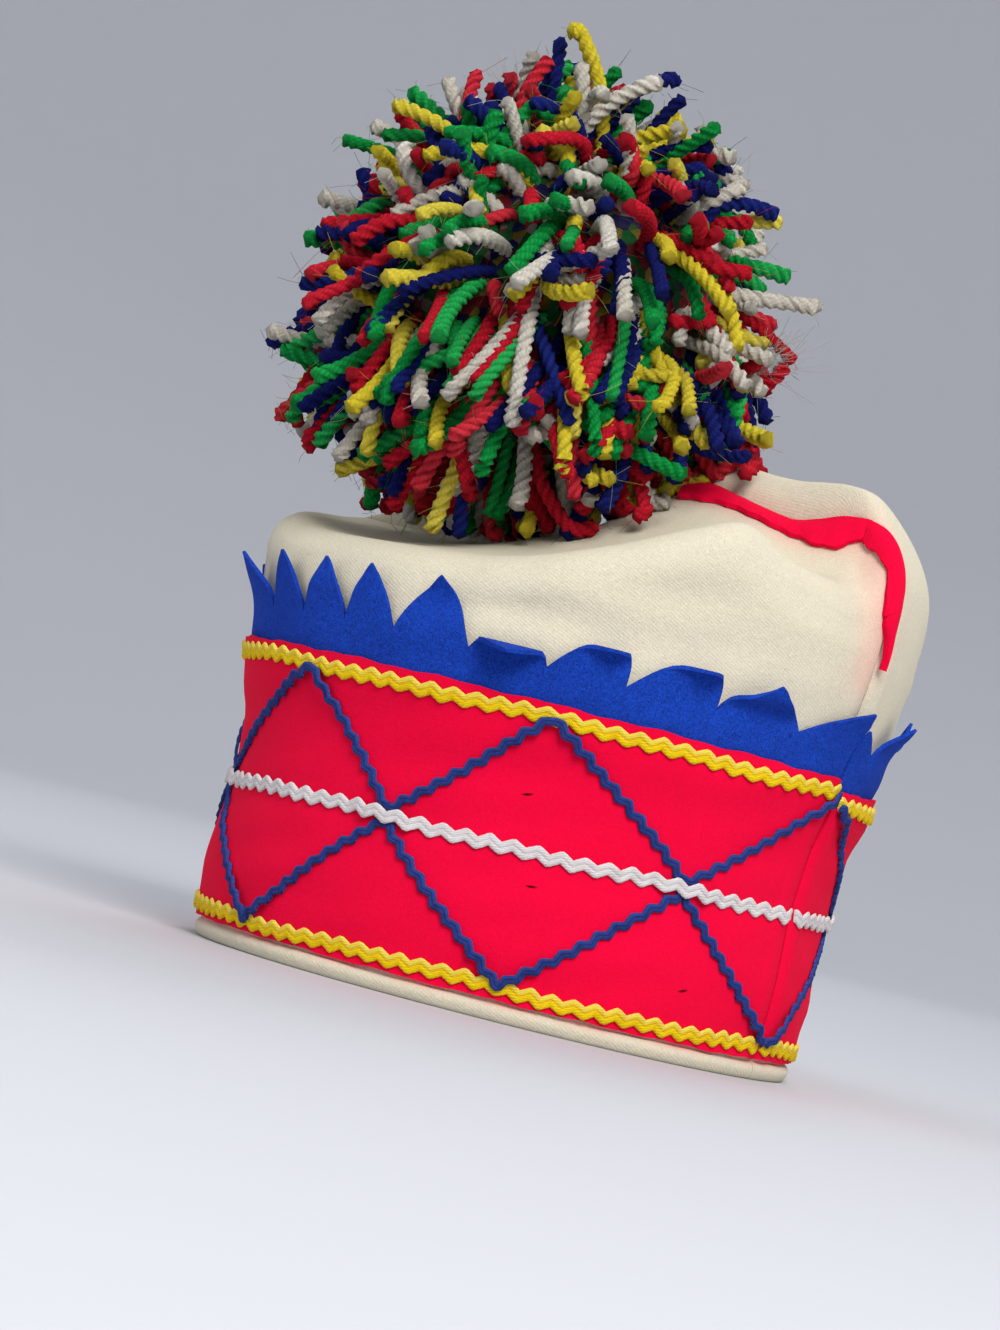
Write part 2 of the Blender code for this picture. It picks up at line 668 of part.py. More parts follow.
def make_pompom(name, collection, material):
    # A ball of yarn: each face of a squared ball is drawn out into one lock, fused to the core.
    draw = random.Random(7)
    ball = bmesh.new()
    bmesh.ops.create_cube(ball, size=2.0)
    bmesh.ops.subdivide_edges(ball, edges=ball.edges, cuts=LOCKS_ACROSS - 1, use_grid_fill=True)
    for vert in ball.verts:
        spread = Vector([math.tan(c * math.pi / 4) for c in vert.co])
        vert.co = spread.normalized() * POMPOM_CORE
    roots = list(ball.faces)
    bmesh.ops.inset_individual(ball, faces=roots, thickness=LOCK_INSET)
    drawn = bmesh.ops.extrude_discrete_faces(ball, faces=roots)["faces"]
    for tip in drawn:
        centre = tip.calc_center_median()
        outward = centre.normalized()
        under = smooth_step(0.2, 0.75, -outward.z)
        reach = POMPOM_RADIUS * (1.0 - draw.uniform(0.0, 0.13) * (1.0 - under))
        side_pull = Vector((draw.uniform(-1, 1), draw.uniform(-1, 1), draw.uniform(-1, 1))) * 0.05
        droop = Vector((0.0, 0.0, -LOCK_DROOP)) * (1.0 - abs(outward.z))
        goal = (outward + side_pull * (1.0 - under)).normalized() * reach + droop
        goal = goal.normalized() * reach
        for vert in tip.verts:
            vert.co = goal + (vert.co - centre) * LOCK_TIP_SHARE
            if vert.co.length > POMPOM_RADIUS:
                vert.co = vert.co.normalized() * POMPOM_RADIUS
    bmesh.ops.translate(ball, verts=ball.verts, vec=POMPOM_CENTRE)
    mesh = bpy.data.meshes.new(name)
    ball.to_mesh(mesh)
    ball.free()
    return add_object(name, mesh, collection, material)


def build_cap():
    clear_scene()
    cap = bpy.data.collections.new("pompom_ski_cap")
    bpy.context.scene.collection.children.link(cap)
    felt = {name: make_material(name) for name in COLOURS}
    for side, word, points in ((FRONT, "front", FRONT_POINTS), (BACK, "back", BACK_POINTS)):
        make_panel(f"crown_panel_{word}", side, cap, felt["cream_felt"])
        make_band(f"red_band_{word}", side, cap, felt["red_felt"])
        make_strip(f"pointed_strip_{word}", side, points, cap, felt["blue_felt"])
        for label, row, colour, lift_of in (
            ("yellow_lower", LOWER_ROW, "yellow_braid", None),
            ("yellow_upper", UPPER_ROW, "yellow_braid", None),
            ("white_middle", MIDDLE_ROW, "white_braid", crossing_lift(side)),
        ):
            lift_of = lift_of or (lambda place, height: 0.0)
            route = level_route(side, row)
            make_trim(f"{label}_braid_{word}", side, route, TRIM_WIDTH, lift_of, cap, felt[colour])
        for label, far_row, near_row in (
            ("upper", UPPER_ROW - 0.0005, MIDDLE_ROW + ROW_CLEARANCE),
            ("lower", LOWER_ROW + 0.0005, MIDDLE_ROW - ROW_CLEARANCE),
        ):
            route = zigzag_route(side, label, far_row, near_row)
            name, lift_of = f"navy_{label}_braid_{word}", row_lift(side, far_row)
            make_trim(name, side, route, NAVY_WIDTH, lift_of, cap, felt["navy_braid"])
    make_seam_strip("red_seam_strip", cap, felt["red_felt"])
    make_pompom("pompom", cap, felt["mixed_yarn"])


build_cap()
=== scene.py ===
# Wool felt ski cap with a yarn pompom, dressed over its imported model.
import math

import bmesh
import bpy
import numpy as np
from mathutils import Matrix, Vector
from mathutils.bvhtree import BVHTree


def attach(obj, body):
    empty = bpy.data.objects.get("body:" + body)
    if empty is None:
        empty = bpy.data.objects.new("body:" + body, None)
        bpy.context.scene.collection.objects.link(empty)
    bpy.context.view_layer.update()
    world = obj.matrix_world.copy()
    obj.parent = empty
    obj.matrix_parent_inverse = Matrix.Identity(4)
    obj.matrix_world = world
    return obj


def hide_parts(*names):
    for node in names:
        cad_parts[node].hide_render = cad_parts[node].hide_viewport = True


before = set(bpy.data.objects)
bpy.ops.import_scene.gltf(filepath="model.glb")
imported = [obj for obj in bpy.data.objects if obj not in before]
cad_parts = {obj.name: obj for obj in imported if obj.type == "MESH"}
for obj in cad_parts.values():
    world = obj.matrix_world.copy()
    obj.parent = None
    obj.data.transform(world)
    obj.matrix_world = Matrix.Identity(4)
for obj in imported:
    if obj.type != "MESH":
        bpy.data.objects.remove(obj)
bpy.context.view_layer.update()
front, back = -1, 1
seamLength = 0.2865  # flat length of one panel from side seam to side seam
scatter = np.random.default_rng(11)

# The felt tube and its crown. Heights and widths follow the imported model.
cap = {
    "halfWidth": 0.0940,
    "halfDepth": 0.0885,
    "felt": 0.0022,
    "gap": 0.0004,
    "bandTop": 0.0910,
    "hemTop": 0.0054,
    "seamHeight": 0.1600,
    "ridgeHeight": 0.1500,
    "shoulder": 0.0140,
    "seamRight": 0.0910,
    "seamLeft": -0.0900,
    "backPuff": 0.0125,
    "puffPlace": 0.84,
    "valley": 0.0060,
}
# sections of the wall: heights as shares of bandTop, widths and depths as shares of the half sizes
wallHeights = [0.00, 0.28, 0.55, 0.80, 1.05, 1.25, 1.45, 1.80]
wallWidths = [0.982, 0.998, 0.990, 1.010, 1.045, 1.080, 1.100, 1.100]
wallDepths = [0.985, 1.000, 0.995, 1.010, 1.035, 1.055, 1.060, 1.050]
# the crown from the right side seam (0) to the left one (1), as shares of the sizes above
crownPlaces = [0.00, 0.05, 0.10, 0.15, 0.21, 0.26, 0.33, 0.41, 0.49, 0.60, 0.70, 0.81, 0.92, 1.00]
crownColumns = {
    "front": [1.095, 1.005, 0.996, 1.008, 1.044, 1.004, 0.932, 0.872, 0.846, 0.842, 0.848, 0.886, 0.912, 0.920],
    "back": [1.095, 1.110, 1.115, 1.112, 1.102, 1.094, 1.074, 1.040, 1.005, 0.965, 0.945, 0.935, 0.930, 0.920],
    "seam": [1.035, 1.036, 1.018, 1.006, 1.014, 1.028, 1.044, 1.025, 0.970, 0.900, 0.868, 0.862, 0.862, 0.864],
    "puff": [0.00, 0.72, 1.12, 1.26, 1.10, 0.95, 0.80, 0.60, 0.50, 0.40, 0.40, 0.50, 0.40, 0.00],
    "valley": [0.0, 0.5, 1.0, 1.2, 1.0, 0.7, 0.4, 0.2, 0.0, 0.0, 0.0, 0.2, 0.2, 0.0],
    "frontRound": [1.5, 1.2, 1.0, 1.0, 1.0, 1.0, 0.9, 0.9, 0.9, 0.9, 0.9, 0.9, 1.0, 1.1],
    "backRound": [1.5, 1.6, 1.7, 1.8, 1.7, 1.6, 1.5, 1.4, 1.3, 1.2, 1.2, 1.2, 1.1, 1.1],
}
# side, place, height and two reaches as shares, depth in felt walls
dents = [
    (front, 0.37, 1.34, 0.06, 0.20, 1.1),
    (front, 0.22, 1.38, 0.11, 0.20, 1.8),
    (front, 0.43, 1.26, 0.11, 0.055, 1.1),
    (front, 0.40, 1.36, 0.10, 0.050, -0.7),
    (front, 0.46, 1.22, 0.028, 0.10, 0.8),
    (front, 0.35, 1.20, 0.045, 0.09, -0.6),
    (front, 0.17, 1.57, 0.035, 0.045, 1.0),
    (front, 0.11, 1.52, 0.040, 0.045, 1.3),
    (front, 0.05, 1.50, 0.030, 0.045, 1.0),
    (front, 0.60, 1.28, 0.05, 0.06, 0.4),
    (front, 0.47, 1.15, 0.07, 0.25, -0.7),
    (front, 0.77, 0.60, 0.10, 0.25, 0.6),
    (front, 0.80, 0.25, 0.10, 0.22, -0.4),
    (front, 0.33, 0.82, 0.08, 0.20, 0.4),
    (back, 0.12, 0.45, 0.10, 0.25, 0.5),
    (back, 0.55, 0.60, 0.15, 0.30, 0.5),
]
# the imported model's pompom, under which the crown gives way
pompom = {"centre": (-0.0345, -0.0200, 0.2125), "radius": 0.0760, "seatGap": 0.0012}


def curveThrough(keys, values, at):
    keys = np.asarray(keys, float)
    values = np.asarray(values, float)
    at = np.clip(at, keys[0], keys[-1])
    slopes = np.zeros(len(keys))
    slopes[1:-1] = (values[2:] - values[:-2]) / (keys[2:] - keys[:-2])
    i = np.clip(np.searchsorted(keys, at, side="right") - 1, 0, len(keys) - 2)
    span = keys[i + 1] - keys[i]
    t = (at - keys[i]) / span
    low = (2 * t**3 - 3 * t**2 + 1) * values[i] + (t**3 - 2 * t**2 + t) * span * slopes[i]
    return low + (3 * t**2 - 2 * t**3) * values[i + 1] + (t**3 - t**2) * span * slopes[i + 1]


def ramp(low, high, value):
    return np.clip((value - low) / (high - low), 0.0, 1.0)


def ease(low, high, value):
    share = ramp(low, high, value)
    return share * share * (3 - 2 * share)


def unit(vectors):
    return vectors / np.maximum(np.linalg.norm(vectors, axis=-1, keepdims=True), 1e-9)


def atPlace(column, place):
    return curveThrough(crownPlaces, crownColumns[column], place)


def softWaves(place, height, side):
    # slow unevenness of hand-sewn felt, a few tenths of a millimetre
    broad = np.sin(23 * place + 410 * height + side) * np.sin(9.1 * place - 30 * height)
    fine = np.sin(57 * place + 130 * height + 2 * side) * np.sin(310 * height + 5 * place)
    return 0.00030 * broad + 0.00012 * fine


def wallAt(side, place, height):
    # points of the felt tube and their outward directions
    place, height = np.broadcast_arrays(np.asarray(place, float), np.asarray(height, float))
    share = height / cap["bandTop"]
    width = cap["halfWidth"] * curveThrough(wallHeights, wallWidths, share)
    depth = cap["halfDepth"] * curveThrough(wallHeights, wallDepths, share)
    turn = math.pi * place
    normal = unit(np.stack([np.cos(turn) / width, side * np.sin(turn) / depth, np.zeros_like(turn)], -1))
    point = np.stack([width * np.cos(turn), side * depth * np.sin(turn), height], -1)
    press = np.zeros_like(share)
    for dentSide, dentPlace, dentHeight, reach, rise, depthIn in dents:
        if dentSide == side:
            across, up = (place - dentPlace) / reach, (share - dentHeight) / rise
            press = press + depthIn * cap["felt"] * np.exp(-(across**2 + up**2))
    level = ease(0.0, 0.05, place) * ease(0.0, 0.05, 1 - place)
    shift = (softWaves(place, height, side) - press) * level
    return point + normal * shift[..., None], normal


def ridgeAt(side, place):
    # height of the crest and radius of the shoulder under it
    label = "front" if side == front else "back"
    return cap["ridgeHeight"] * atPlace(label, place), cap["shoulder"] * atPlace(label + "Round", place)


def seamAt(place):
    x = cap["seamRight"] + (cap["seamLeft"] - cap["seamRight"]) * place
    return np.stack([x, np.zeros_like(x), cap["seamHeight"] * atPlace("seam", place)], -1)


def pressUnderPompom(points):
    reach = pompom["radius"] + pompom["seatGap"]
    centre = np.array(pompom["centre"])
    across = np.linalg.norm(points[..., :2] - centre[:2], axis=-1)
    under = centre[2] - np.sqrt(np.maximum(reach**2 - across**2, 0))
    points[..., 2] = np.where(across < reach, np.minimum(points[..., 2], under), points[..., 2])
    return points


def crownAt(side, place, inward):
    # from the top of the wall (0) to the crown seam (1)
    place, inward = np.broadcast_arrays(np.asarray(place, float), np.asarray(inward, float))
    ridge, radius = ridgeAt(side, place)
    foot, _ = wallAt(side, place, ridge - radius)
    seam = seamAt(place)
    flat = np.linalg.norm((seam - foot)[..., :2], axis=-1)
    shoulder = np.minimum(1.0, radius / flat)
    at = foot + (seam - foot) * inward[..., None]
    if side == front:
        rising = 0.4 * ease(0, 1, inward) + 0.6 * inward**2.4
        height = ridge + (seam[..., 2] - ridge) * rising
        height = height - cap["valley"] * atPlace("valley", place) * np.sin(math.pi * inward) ** 2
    else:
        top = seam[..., 2] + cap["backPuff"] * atPlace("puff", place)
        rising = ridge + (top - ridge) * ease(0, cap["puffPlace"], inward)
        down = np.clip((inward - cap["puffPlace"]) / (1 - cap["puffPlace"]), 0, 1)
        falling = seam[..., 2] + (top - seam[..., 2]) * np.sqrt(1 - down**2)
        height = np.where(inward < cap["puffPlace"], rising, falling)
    away = np.clip(1 - inward / shoulder, 0, 1)
    height = height - radius * (1 - np.sqrt(1 - away**2))
    points = np.stack([at[..., 0], at[..., 1], height], -1)
    return pressUnderPompom(points)


def putAway(obj):
    bpy.context.collection.objects.link(obj)
    return obj


def smoothMesh(name, points, faces, mapName, uv, material):
    # the map has one entry for each point
    mesh = bpy.data.meshes.new(name)
    mesh.from_pydata(points.tolist(), [], faces)
    index = np.empty(len(mesh.loops), np.int32)
    mesh.loops.foreach_get("vertex_index", index)
    mesh.uv_layers.new(name=mapName).data.foreach_set("uv", uv[index].astype(np.float32).ravel())
    mesh.shade_smooth()
    mesh.materials.append(material)
    return mesh


def paint(mesh, label, values):
    mesh.attributes.new(label, "FLOAT", "POINT").data.foreach_set("value", values.astype(np.float32))


def loft(name, columns, material, uv, sharp=50):
    # columns: array of columns, rows and xyz. Neighbouring columns are joined with quads, the ends closed.
    count, rows = columns.shape[:2]
    c, r = np.meshgrid(np.arange(count - 1) * rows, np.arange(rows), indexing="ij")
    after = (r + 1) % rows
    faces = np.stack([c + r, c + after, c + rows + after, c + rows + r], -1).reshape(-1, 4).tolist()
    faces += [list(range(rows))[::-1], list(range((count - 1) * rows, count * rows))]
    mesh = smoothMesh(name, columns.reshape(-1, 3), faces, "clothMap", uv.reshape(-1, 2), material)
    work = bmesh.new()
    work.from_mesh(mesh)
    bmesh.ops.recalc_face_normals(work, faces=work.faces)
    work.to_mesh(mesh)
    work.free()
    mesh.set_sharp_from_angle(angle=math.radians(sharp))
    return putAway(bpy.data.objects.new(name, mesh))


def dress(piece, slotName, *nodeNames):
    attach(piece, "root")
    if nodeNames:
        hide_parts(*nodeNames)
    return piece


# materials
def newGroup(name, inputs, outputs):
    # a vector and some values go in, and some values come out
    group = bpy.data.node_groups.new(name, "ShaderNodeTree")
    group.interface.new_socket(name="Vector", in_out="INPUT", socket_type="NodeSocketVector")
    for label, value in inputs.items():
        socket = group.interface.new_socket(name=label, in_out="INPUT", socket_type="NodeSocketFloat")
        socket.default_value = value
    for label in outputs:
        group.interface.new_socket(name=label, in_out="OUTPUT", socket_type="NodeSocketFloat")
    return group, group.nodes.new("NodeGroupInput").outputs, group.nodes.new("NodeGroupOutput").inputs


def addMath(tree, operation, a, b=None):
    node = tree.nodes.new("ShaderNodeMath")
    node.operation = operation
    for socket, value in zip(node.inputs, (a, b)):
        if isinstance(value, (int, float)):
            socket.default_value = value
        elif value is not None:
            tree.links.new(value, socket)
    return node.outputs[0]


def times(tree, a, b):
    return addMath(tree, "MULTIPLY", a, b)


def plus(tree, a, b):
    return addMath(tree, "ADD", a, b)


def sineLines(tree, phase):
    # waves between 0 and 1, one for each whole number of the phase
    return plus(tree, times(tree, addMath(tree, "SINE", times(tree, phase, 2 * math.pi)), 0.5), 0.5)


def axes(tree, vector):
    split = tree.nodes.new("ShaderNodeSeparateXYZ")
    tree.links.new(vector, split.inputs[0])
    return split.outputs


def addNoise(tree, vector, scale, detail=3.0, rough=0.6, distortion=0.0):
    node = tree.nodes.new("ShaderNodeTexNoise")
    tree.links.new(vector, node.inputs["Vector"])
    if isinstance(scale, (int, float)):
        node.inputs["Scale"].default_value = scale
    else:
        tree.links.new(scale, node.inputs["Scale"])
    node.inputs["Detail"].default_value = detail
    node.inputs["Roughness"].default_value = rough
    node.inputs["Distortion"].default_value = distortion
    return node.outputs["Fac"]


def spread(tree, value, low, high, lowTo=0.0, highTo=1.0):
    node = tree.nodes.new("ShaderNodeMapRange")
    node.clamp = True
    tree.links.new(value, node.inputs["Value"])
    for label, number in (("From Min", low), ("From Max", high), ("To Min", lowTo), ("To Max", highTo)):
        node.inputs[label].default_value = number
    return node.outputs["Result"]


def makeWoolFuzz():
    # matted wool: short curled fibres, pills and slow cloudiness
    group, given, made = newGroup("woolFuzz", {"Fibre Scale": 1500.0}, ("Tone", "Cloud", "Height"))
    vector, scale = given[0], given[1]
    curls = addNoise(group, vector, scale, 4.0, 0.7, 1.6)
    fine = addNoise(group, vector, times(group, scale, 2.7), 2.0, 0.6, 0.8)
    pills = addNoise(group, vector, times(group, scale, 0.28), 3.0, 0.6, 0.4)
    cloud = addNoise(group, vector, 26.0, 3.0, 0.55, 0.2)
    tone = plus(group, times(group, curls, 0.55), times(group, fine, 0.45))
    height = plus(group, times(group, tone, 0.6), times(group, pills, 0.55))
    group.links.new(spread(group, tone, 0.32, 0.68), made["Tone"])
    group.links.new(spread(group, cloud, 0.3, 0.7), made["Cloud"])
    group.links.new(height, made["Height"])
    return group


def makeTwill():
    # faint diagonal ribs of the woven wool, on a map in metres
    group, given, made = newGroup("twillRibs", {"Rib Pitch": 0.0011}, ("Ribs",))
    vector, pitch = given[0], given[1]
    place = axes(group, vector)
    along = addMath(group, "SUBTRACT", times(group, place[0], 0.55), place[1])
    wobble = times(group, addNoise(group, vector, 300.0, 2.0), 0.0009)
    phase = addMath(group, "DIVIDE", plus(group, along, wobble), pitch)
    group.links.new(sineLines(group, phase), made["Ribs"])
    return group


def makeThreads():
    # fine threads that run slanting across a braid or round a yarn, on a map of length and girth
    sizes = {"Along": 1000.0, "Across": 3.0, "Unevenness": 1.0}
    group, given, made = newGroup("threadLines", sizes, ("Lines",))
    vector, along, across, uneven = list(given)[:4]
    place = axes(group, vector)
    phase = plus(group, times(group, place[0], along), times(group, place[1], across))
    noise = times(group, addNoise(group, vector, 160.0, 2.0), uneven)
    group.links.new(sineLines(group, plus(group, phase, noise)), made["Lines"])
    return group


woolFuzz = makeWoolFuzz()
twillRibs = makeTwill()
threadLines = makeThreads()


def startMaterial(name, roughness, sheen, sheenTint):
    material = bpy.data.materials.new(name)
    material.use_nodes = True
    tree = material.node_tree
    shader = tree.nodes["Principled BSDF"]
    shader.inputs["Roughness"].default_value = roughness
    shader.inputs["Sheen Weight"].default_value = sheen
    shader.inputs["Sheen Roughness"].default_value = 0.6
    shader.inputs["Sheen Tint"].default_value = (*sheenTint, 1)
    shader.inputs["Specular IOR Level"].default_value = 0.12
    coords = tree.nodes.new("ShaderNodeTexCoord")
    return material, tree, shader, coords


def useGroup(tree, group, vector, **values):
    node = tree.nodes.new("ShaderNodeGroup")
    node.node_tree = group
    tree.links.new(vector, node.inputs["Vector"])
    for label, value in values.items():
        node.inputs[label.replace("_", " ")].default_value = value
    return node.outputs


def mixColours(tree, share, low, high):
    node = tree.nodes.new("ShaderNodeMix")
    node.data_type = "RGBA"
    for socket, value in ((node.inputs["Factor"], share), (node.inputs[6], low), (node.inputs[7], high)):
        if isinstance(value, (int, float)):
            socket.default_value = value
        elif isinstance(value, tuple):
            socket.default_value = (*value, 1)
        else:
            tree.links.new(value, socket)
    return node.outputs[2]


def tint(tree, colour, towards, value, low, high, least, most):
    # turns a colour towards another as the value runs from low to high
    return mixColours(tree, spread(tree, value, low, high, least, most), colour, towards)


def addBump(tree, shader, height, distance):
    node = tree.nodes.new("ShaderNodeBump")
    node.inputs["Distance"].default_value = distance
    tree.links.new(height, node.inputs["Height"])
    tree.links.new(node.outputs["Normal"], shader.inputs["Normal"])


def attribute(tree, name):
    node = tree.nodes.new("ShaderNodeAttribute")
    node.attribute_name = name
    return node.outputs["Fac"]


def nickShadeMask(tree, coords, spots):
    # small cuts: places on the cloth map with a slant, shown where the piece carries the attribute; each is
    # painted dark as the shade inside the slit
    total = None
    for across, up, slant in spots:
        turned = tree.nodes.new("ShaderNodeMapping")
        turned.vector_type = "TEXTURE"
        turned.inputs["Location"].default_value = (across, up, 0)
        turned.inputs["Rotation"].default_value = (0, 0, slant)
        turned.inputs["Scale"].default_value = (0.0019, 0.00045, 1)
        tree.links.new(coords.outputs["UV"], turned.inputs["Vector"])
        size = tree.nodes.new("ShaderNodeVectorMath")
        size.operation = "LENGTH"
        tree.links.new(turned.outputs["Vector"], size.inputs[0])
        spot = spread(tree, size.outputs["Value"], 0.35, 1.0, 1.0, 0.0)
        total = spot if total is None else addMath(tree, "MAXIMUM", total, spot)
    return times(tree, total, attribute(tree, "nickShare"))


def feltMaterial(name, dark, light, cloud, sheen, fibreScale, relief, ribs=0.0, stain=None, nicks=()):
    material, tree, shader, coords = startMaterial(name, 0.95, sheen, light)
    fuzz = useGroup(tree, woolFuzz, coords.outputs["Object"], Fibre_Scale=fibreScale)
    colour = mixColours(tree, fuzz["Tone"], dark, light)
    colour = tint(tree, colour, cloud, fuzz["Cloud"], 0, 1, 0.0, 0.35)
    height = fuzz["Height"]
    if ribs:
        rib = useGroup(tree, twillRibs, coords.outputs["UV"], Rib_Pitch=0.0010)["Ribs"]
        height = plus(tree, height, times(tree, rib, ribs))
        colour = tint(tree, colour, dark, rib, 0, 1, 0.10, 0.0)
    if stain:
        colour = mixColours(tree, attribute(tree, "dyeBleed"), colour, stain)
    if nicks:
        cut = nickShadeMask(tree, coords, nicks)
        # painted shade: the cuts turn near black, as the shade inside them
        colour = mixColours(tree, cut, colour, tuple(0.12 * part for part in dark))
        height = addMath(tree, "SUBTRACT", height, times(tree, cut, 1.5))
    tree.links.new(colour, shader.inputs["Base Color"])
    addBump(tree, shader, height, relief)
    return material


def braidMaterial(name, dark, light, pale):
    material, tree, shader, coords = startMaterial(name, 0.75, 0.08, light)
    cloth = coords.outputs["UV"]
    first = useGroup(tree, threadLines, cloth, Along=900.0, Across=2.2, Unevenness=0.5)["Lines"]
    second = useGroup(tree, threadLines, cloth, Along=700.0, Across=-3.0, Unevenness=0.7)["Lines"]
    both = addMath(tree, "MAXIMUM", first, second)
    tone = addNoise(tree, coords.outputs["Object"], 420.0, 3.0)
    colour = mixColours(tree, both, dark, light)
    colour = tint(tree, colour, dark, tone, 0.45, 0.62, 0.0, 0.45)
    # the open upper half is paler as a painted highlight, and a dark line of painted shade runs along the
    # middle groove
    side = axes(tree, cloth)[1]
    colour = tint(tree, colour, pale, side, 0.05, 0.6, 0.0, 0.45)
    middle = addMath(tree, "ABSOLUTE", side)
    colour = tint(tree, colour, dark, middle, 0.02, 0.22, 0.40, 0.0)
    tree.links.new(colour, shader.inputs["Base Color"])
    addBump(tree, shader, plus(tree, both, spread(tree, middle, 0.0, 0.3)), 0.00022)
    return material


def yarnMaterial(name, dark, light, pale):
    material, tree, shader, coords = startMaterial(name, 0.9, 0.35, light)
    cloth = coords.outputs["UV"]
    lines = useGroup(tree, threadLines, cloth, Along=420.0, Across=9.0, Unevenness=1.2)["Lines"]
    fuzz = useGroup(tree, woolFuzz, coords.outputs["Object"], Fibre_Scale=1900.0)
    tone = attribute(tree, "strandTone")
    groove = attribute(tree, "plyGrooveShade")
    colour = mixColours(tree, times(tree, lines, 0.5), dark, light)
    colour = tint(tree, colour, light, fuzz["Tone"], 0.4, 1.0, 0.0, 0.45)
    colour = tint(tree, colour, pale, tone, 0.5, 1.0, 0.0, 0.35)
    colour = tint(tree, colour, dark, tone, 0.0, 0.4, 0.35, 0.0)
    # painted shade in the grooves between the plies, at the cut tips and at the roots
    colour = tint(tree, colour, dark, groove, 0.0, 1.0, 0.0, 0.7)
    tree.links.new(colour, shader.inputs["Base Color"])
    addBump(tree, shader, plus(tree, times(tree, lines, 0.5), fuzz["Height"]), 0.0004)
    return material


creamFelt = feltMaterial(
    "creamWoolFelt", (0.52, 0.46, 0.335), (0.80, 0.75, 0.60), (0.66, 0.60, 0.46), sheen=0.25,
    fibreScale=1200.0, relief=0.0005, ribs=0.09, stain=(0.82, 0.34, 0.30),
)
redFelt = feltMaterial(
    "redWoolFelt", (0.64, 0.0, 0.026), (0.98, 0.0, 0.052), (0.74, 0.0, 0.030), sheen=0.02,
    fibreScale=1700.0, relief=0.00030,
    # cuts in the front band, painted dark as the shade inside them
    nicks=((0.0967, 0.0645, -0.25), (0.0895, 0.0395, -0.1), (0.0387, 0.0210, -0.3), (0.0, 0.0700, 0.0)),
)
blueFelt = feltMaterial(
    "blueWoolFelt", (0.002, 0.008, 0.085), (0.013, 0.090, 0.70), (0.003, 0.024, 0.22), sheen=0.08,
    fibreScale=850.0, relief=0.0006,
)
# each braid: dark and light thread colours, then the pale colour of the painted highlight on its upper half
yellowBraid = braidMaterial("yellowBraid", (0.95, 0.50, 0.0), (1.0, 0.78, 0.010), (1.0, 0.88, 0.22))
whiteBraid = braidMaterial("whiteBraid", (0.66, 0.58, 0.58), (0.95, 0.93, 0.92), (0.85, 0.78, 0.80))
navyBraid = braidMaterial("navyBraid", (0.006, 0.012, 0.085), (0.036, 0.070, 0.33), (0.05, 0.09, 0.40))
# each yarn: its material, its share of the strands, then its dark, light and pale colour
yarnColours = {
    "red": ("redYarn", 0.24, (0.42, 0.003, 0.012), (0.82, 0.02, 0.05), (0.92, 0.10, 0.12)),
    "navy": ("navyYarn", 0.20, (0.002, 0.003, 0.06), (0.010, 0.020, 0.22), (0.02, 0.05, 0.36)),
    "green": ("greenYarn", 0.19, (0.0, 0.19, 0.03), (0.012, 0.52, 0.10), (0.06, 0.66, 0.17)),
    "yellow": ("yellowYarn", 0.18, (0.66, 0.50, 0.015), (0.95, 0.82, 0.08), (0.98, 0.90, 0.26)),
    "white": ("offWhiteYarn", 0.19, (0.55, 0.50, 0.41), (0.87, 0.83, 0.74), (0.95, 0.93, 0.87)),
}
yarns = {
    colour: (yarnMaterial(finish, *tones), share)
    for colour, (finish, share, *tones) in yarnColours.items()
}
print("materials ready")

# cream felt panels with the rolled hem
panelSizes = {
    "columns": 126,
    "wallRows": 44,
    "crownRows": 46,
    "crowding": 0.12,
    "hemWall": 0.0048,
    "hemProud": 0.0018,
    "hemInside": 0.0130,
    "hemStain": 0.0058,
}
seamStrip = {"start": 0.36, "tip": 0.1250, "width": 0.0092, "felt": 0.0015, "narrowing": 0.34}


def columnPlaces(count, crowding):
    evens = np.linspace(0, 1, count + 1)
    return evens - crowding * np.sin(2 * math.pi * evens)


def seamGroove(distance):
    # felt puffs beside a seam and is drawn in on it
    groove = -0.0013 * np.exp(-((distance / 0.0018) ** 2))
    return groove + 0.0005 * np.exp(-(((distance - 0.006) / 0.003) ** 2))


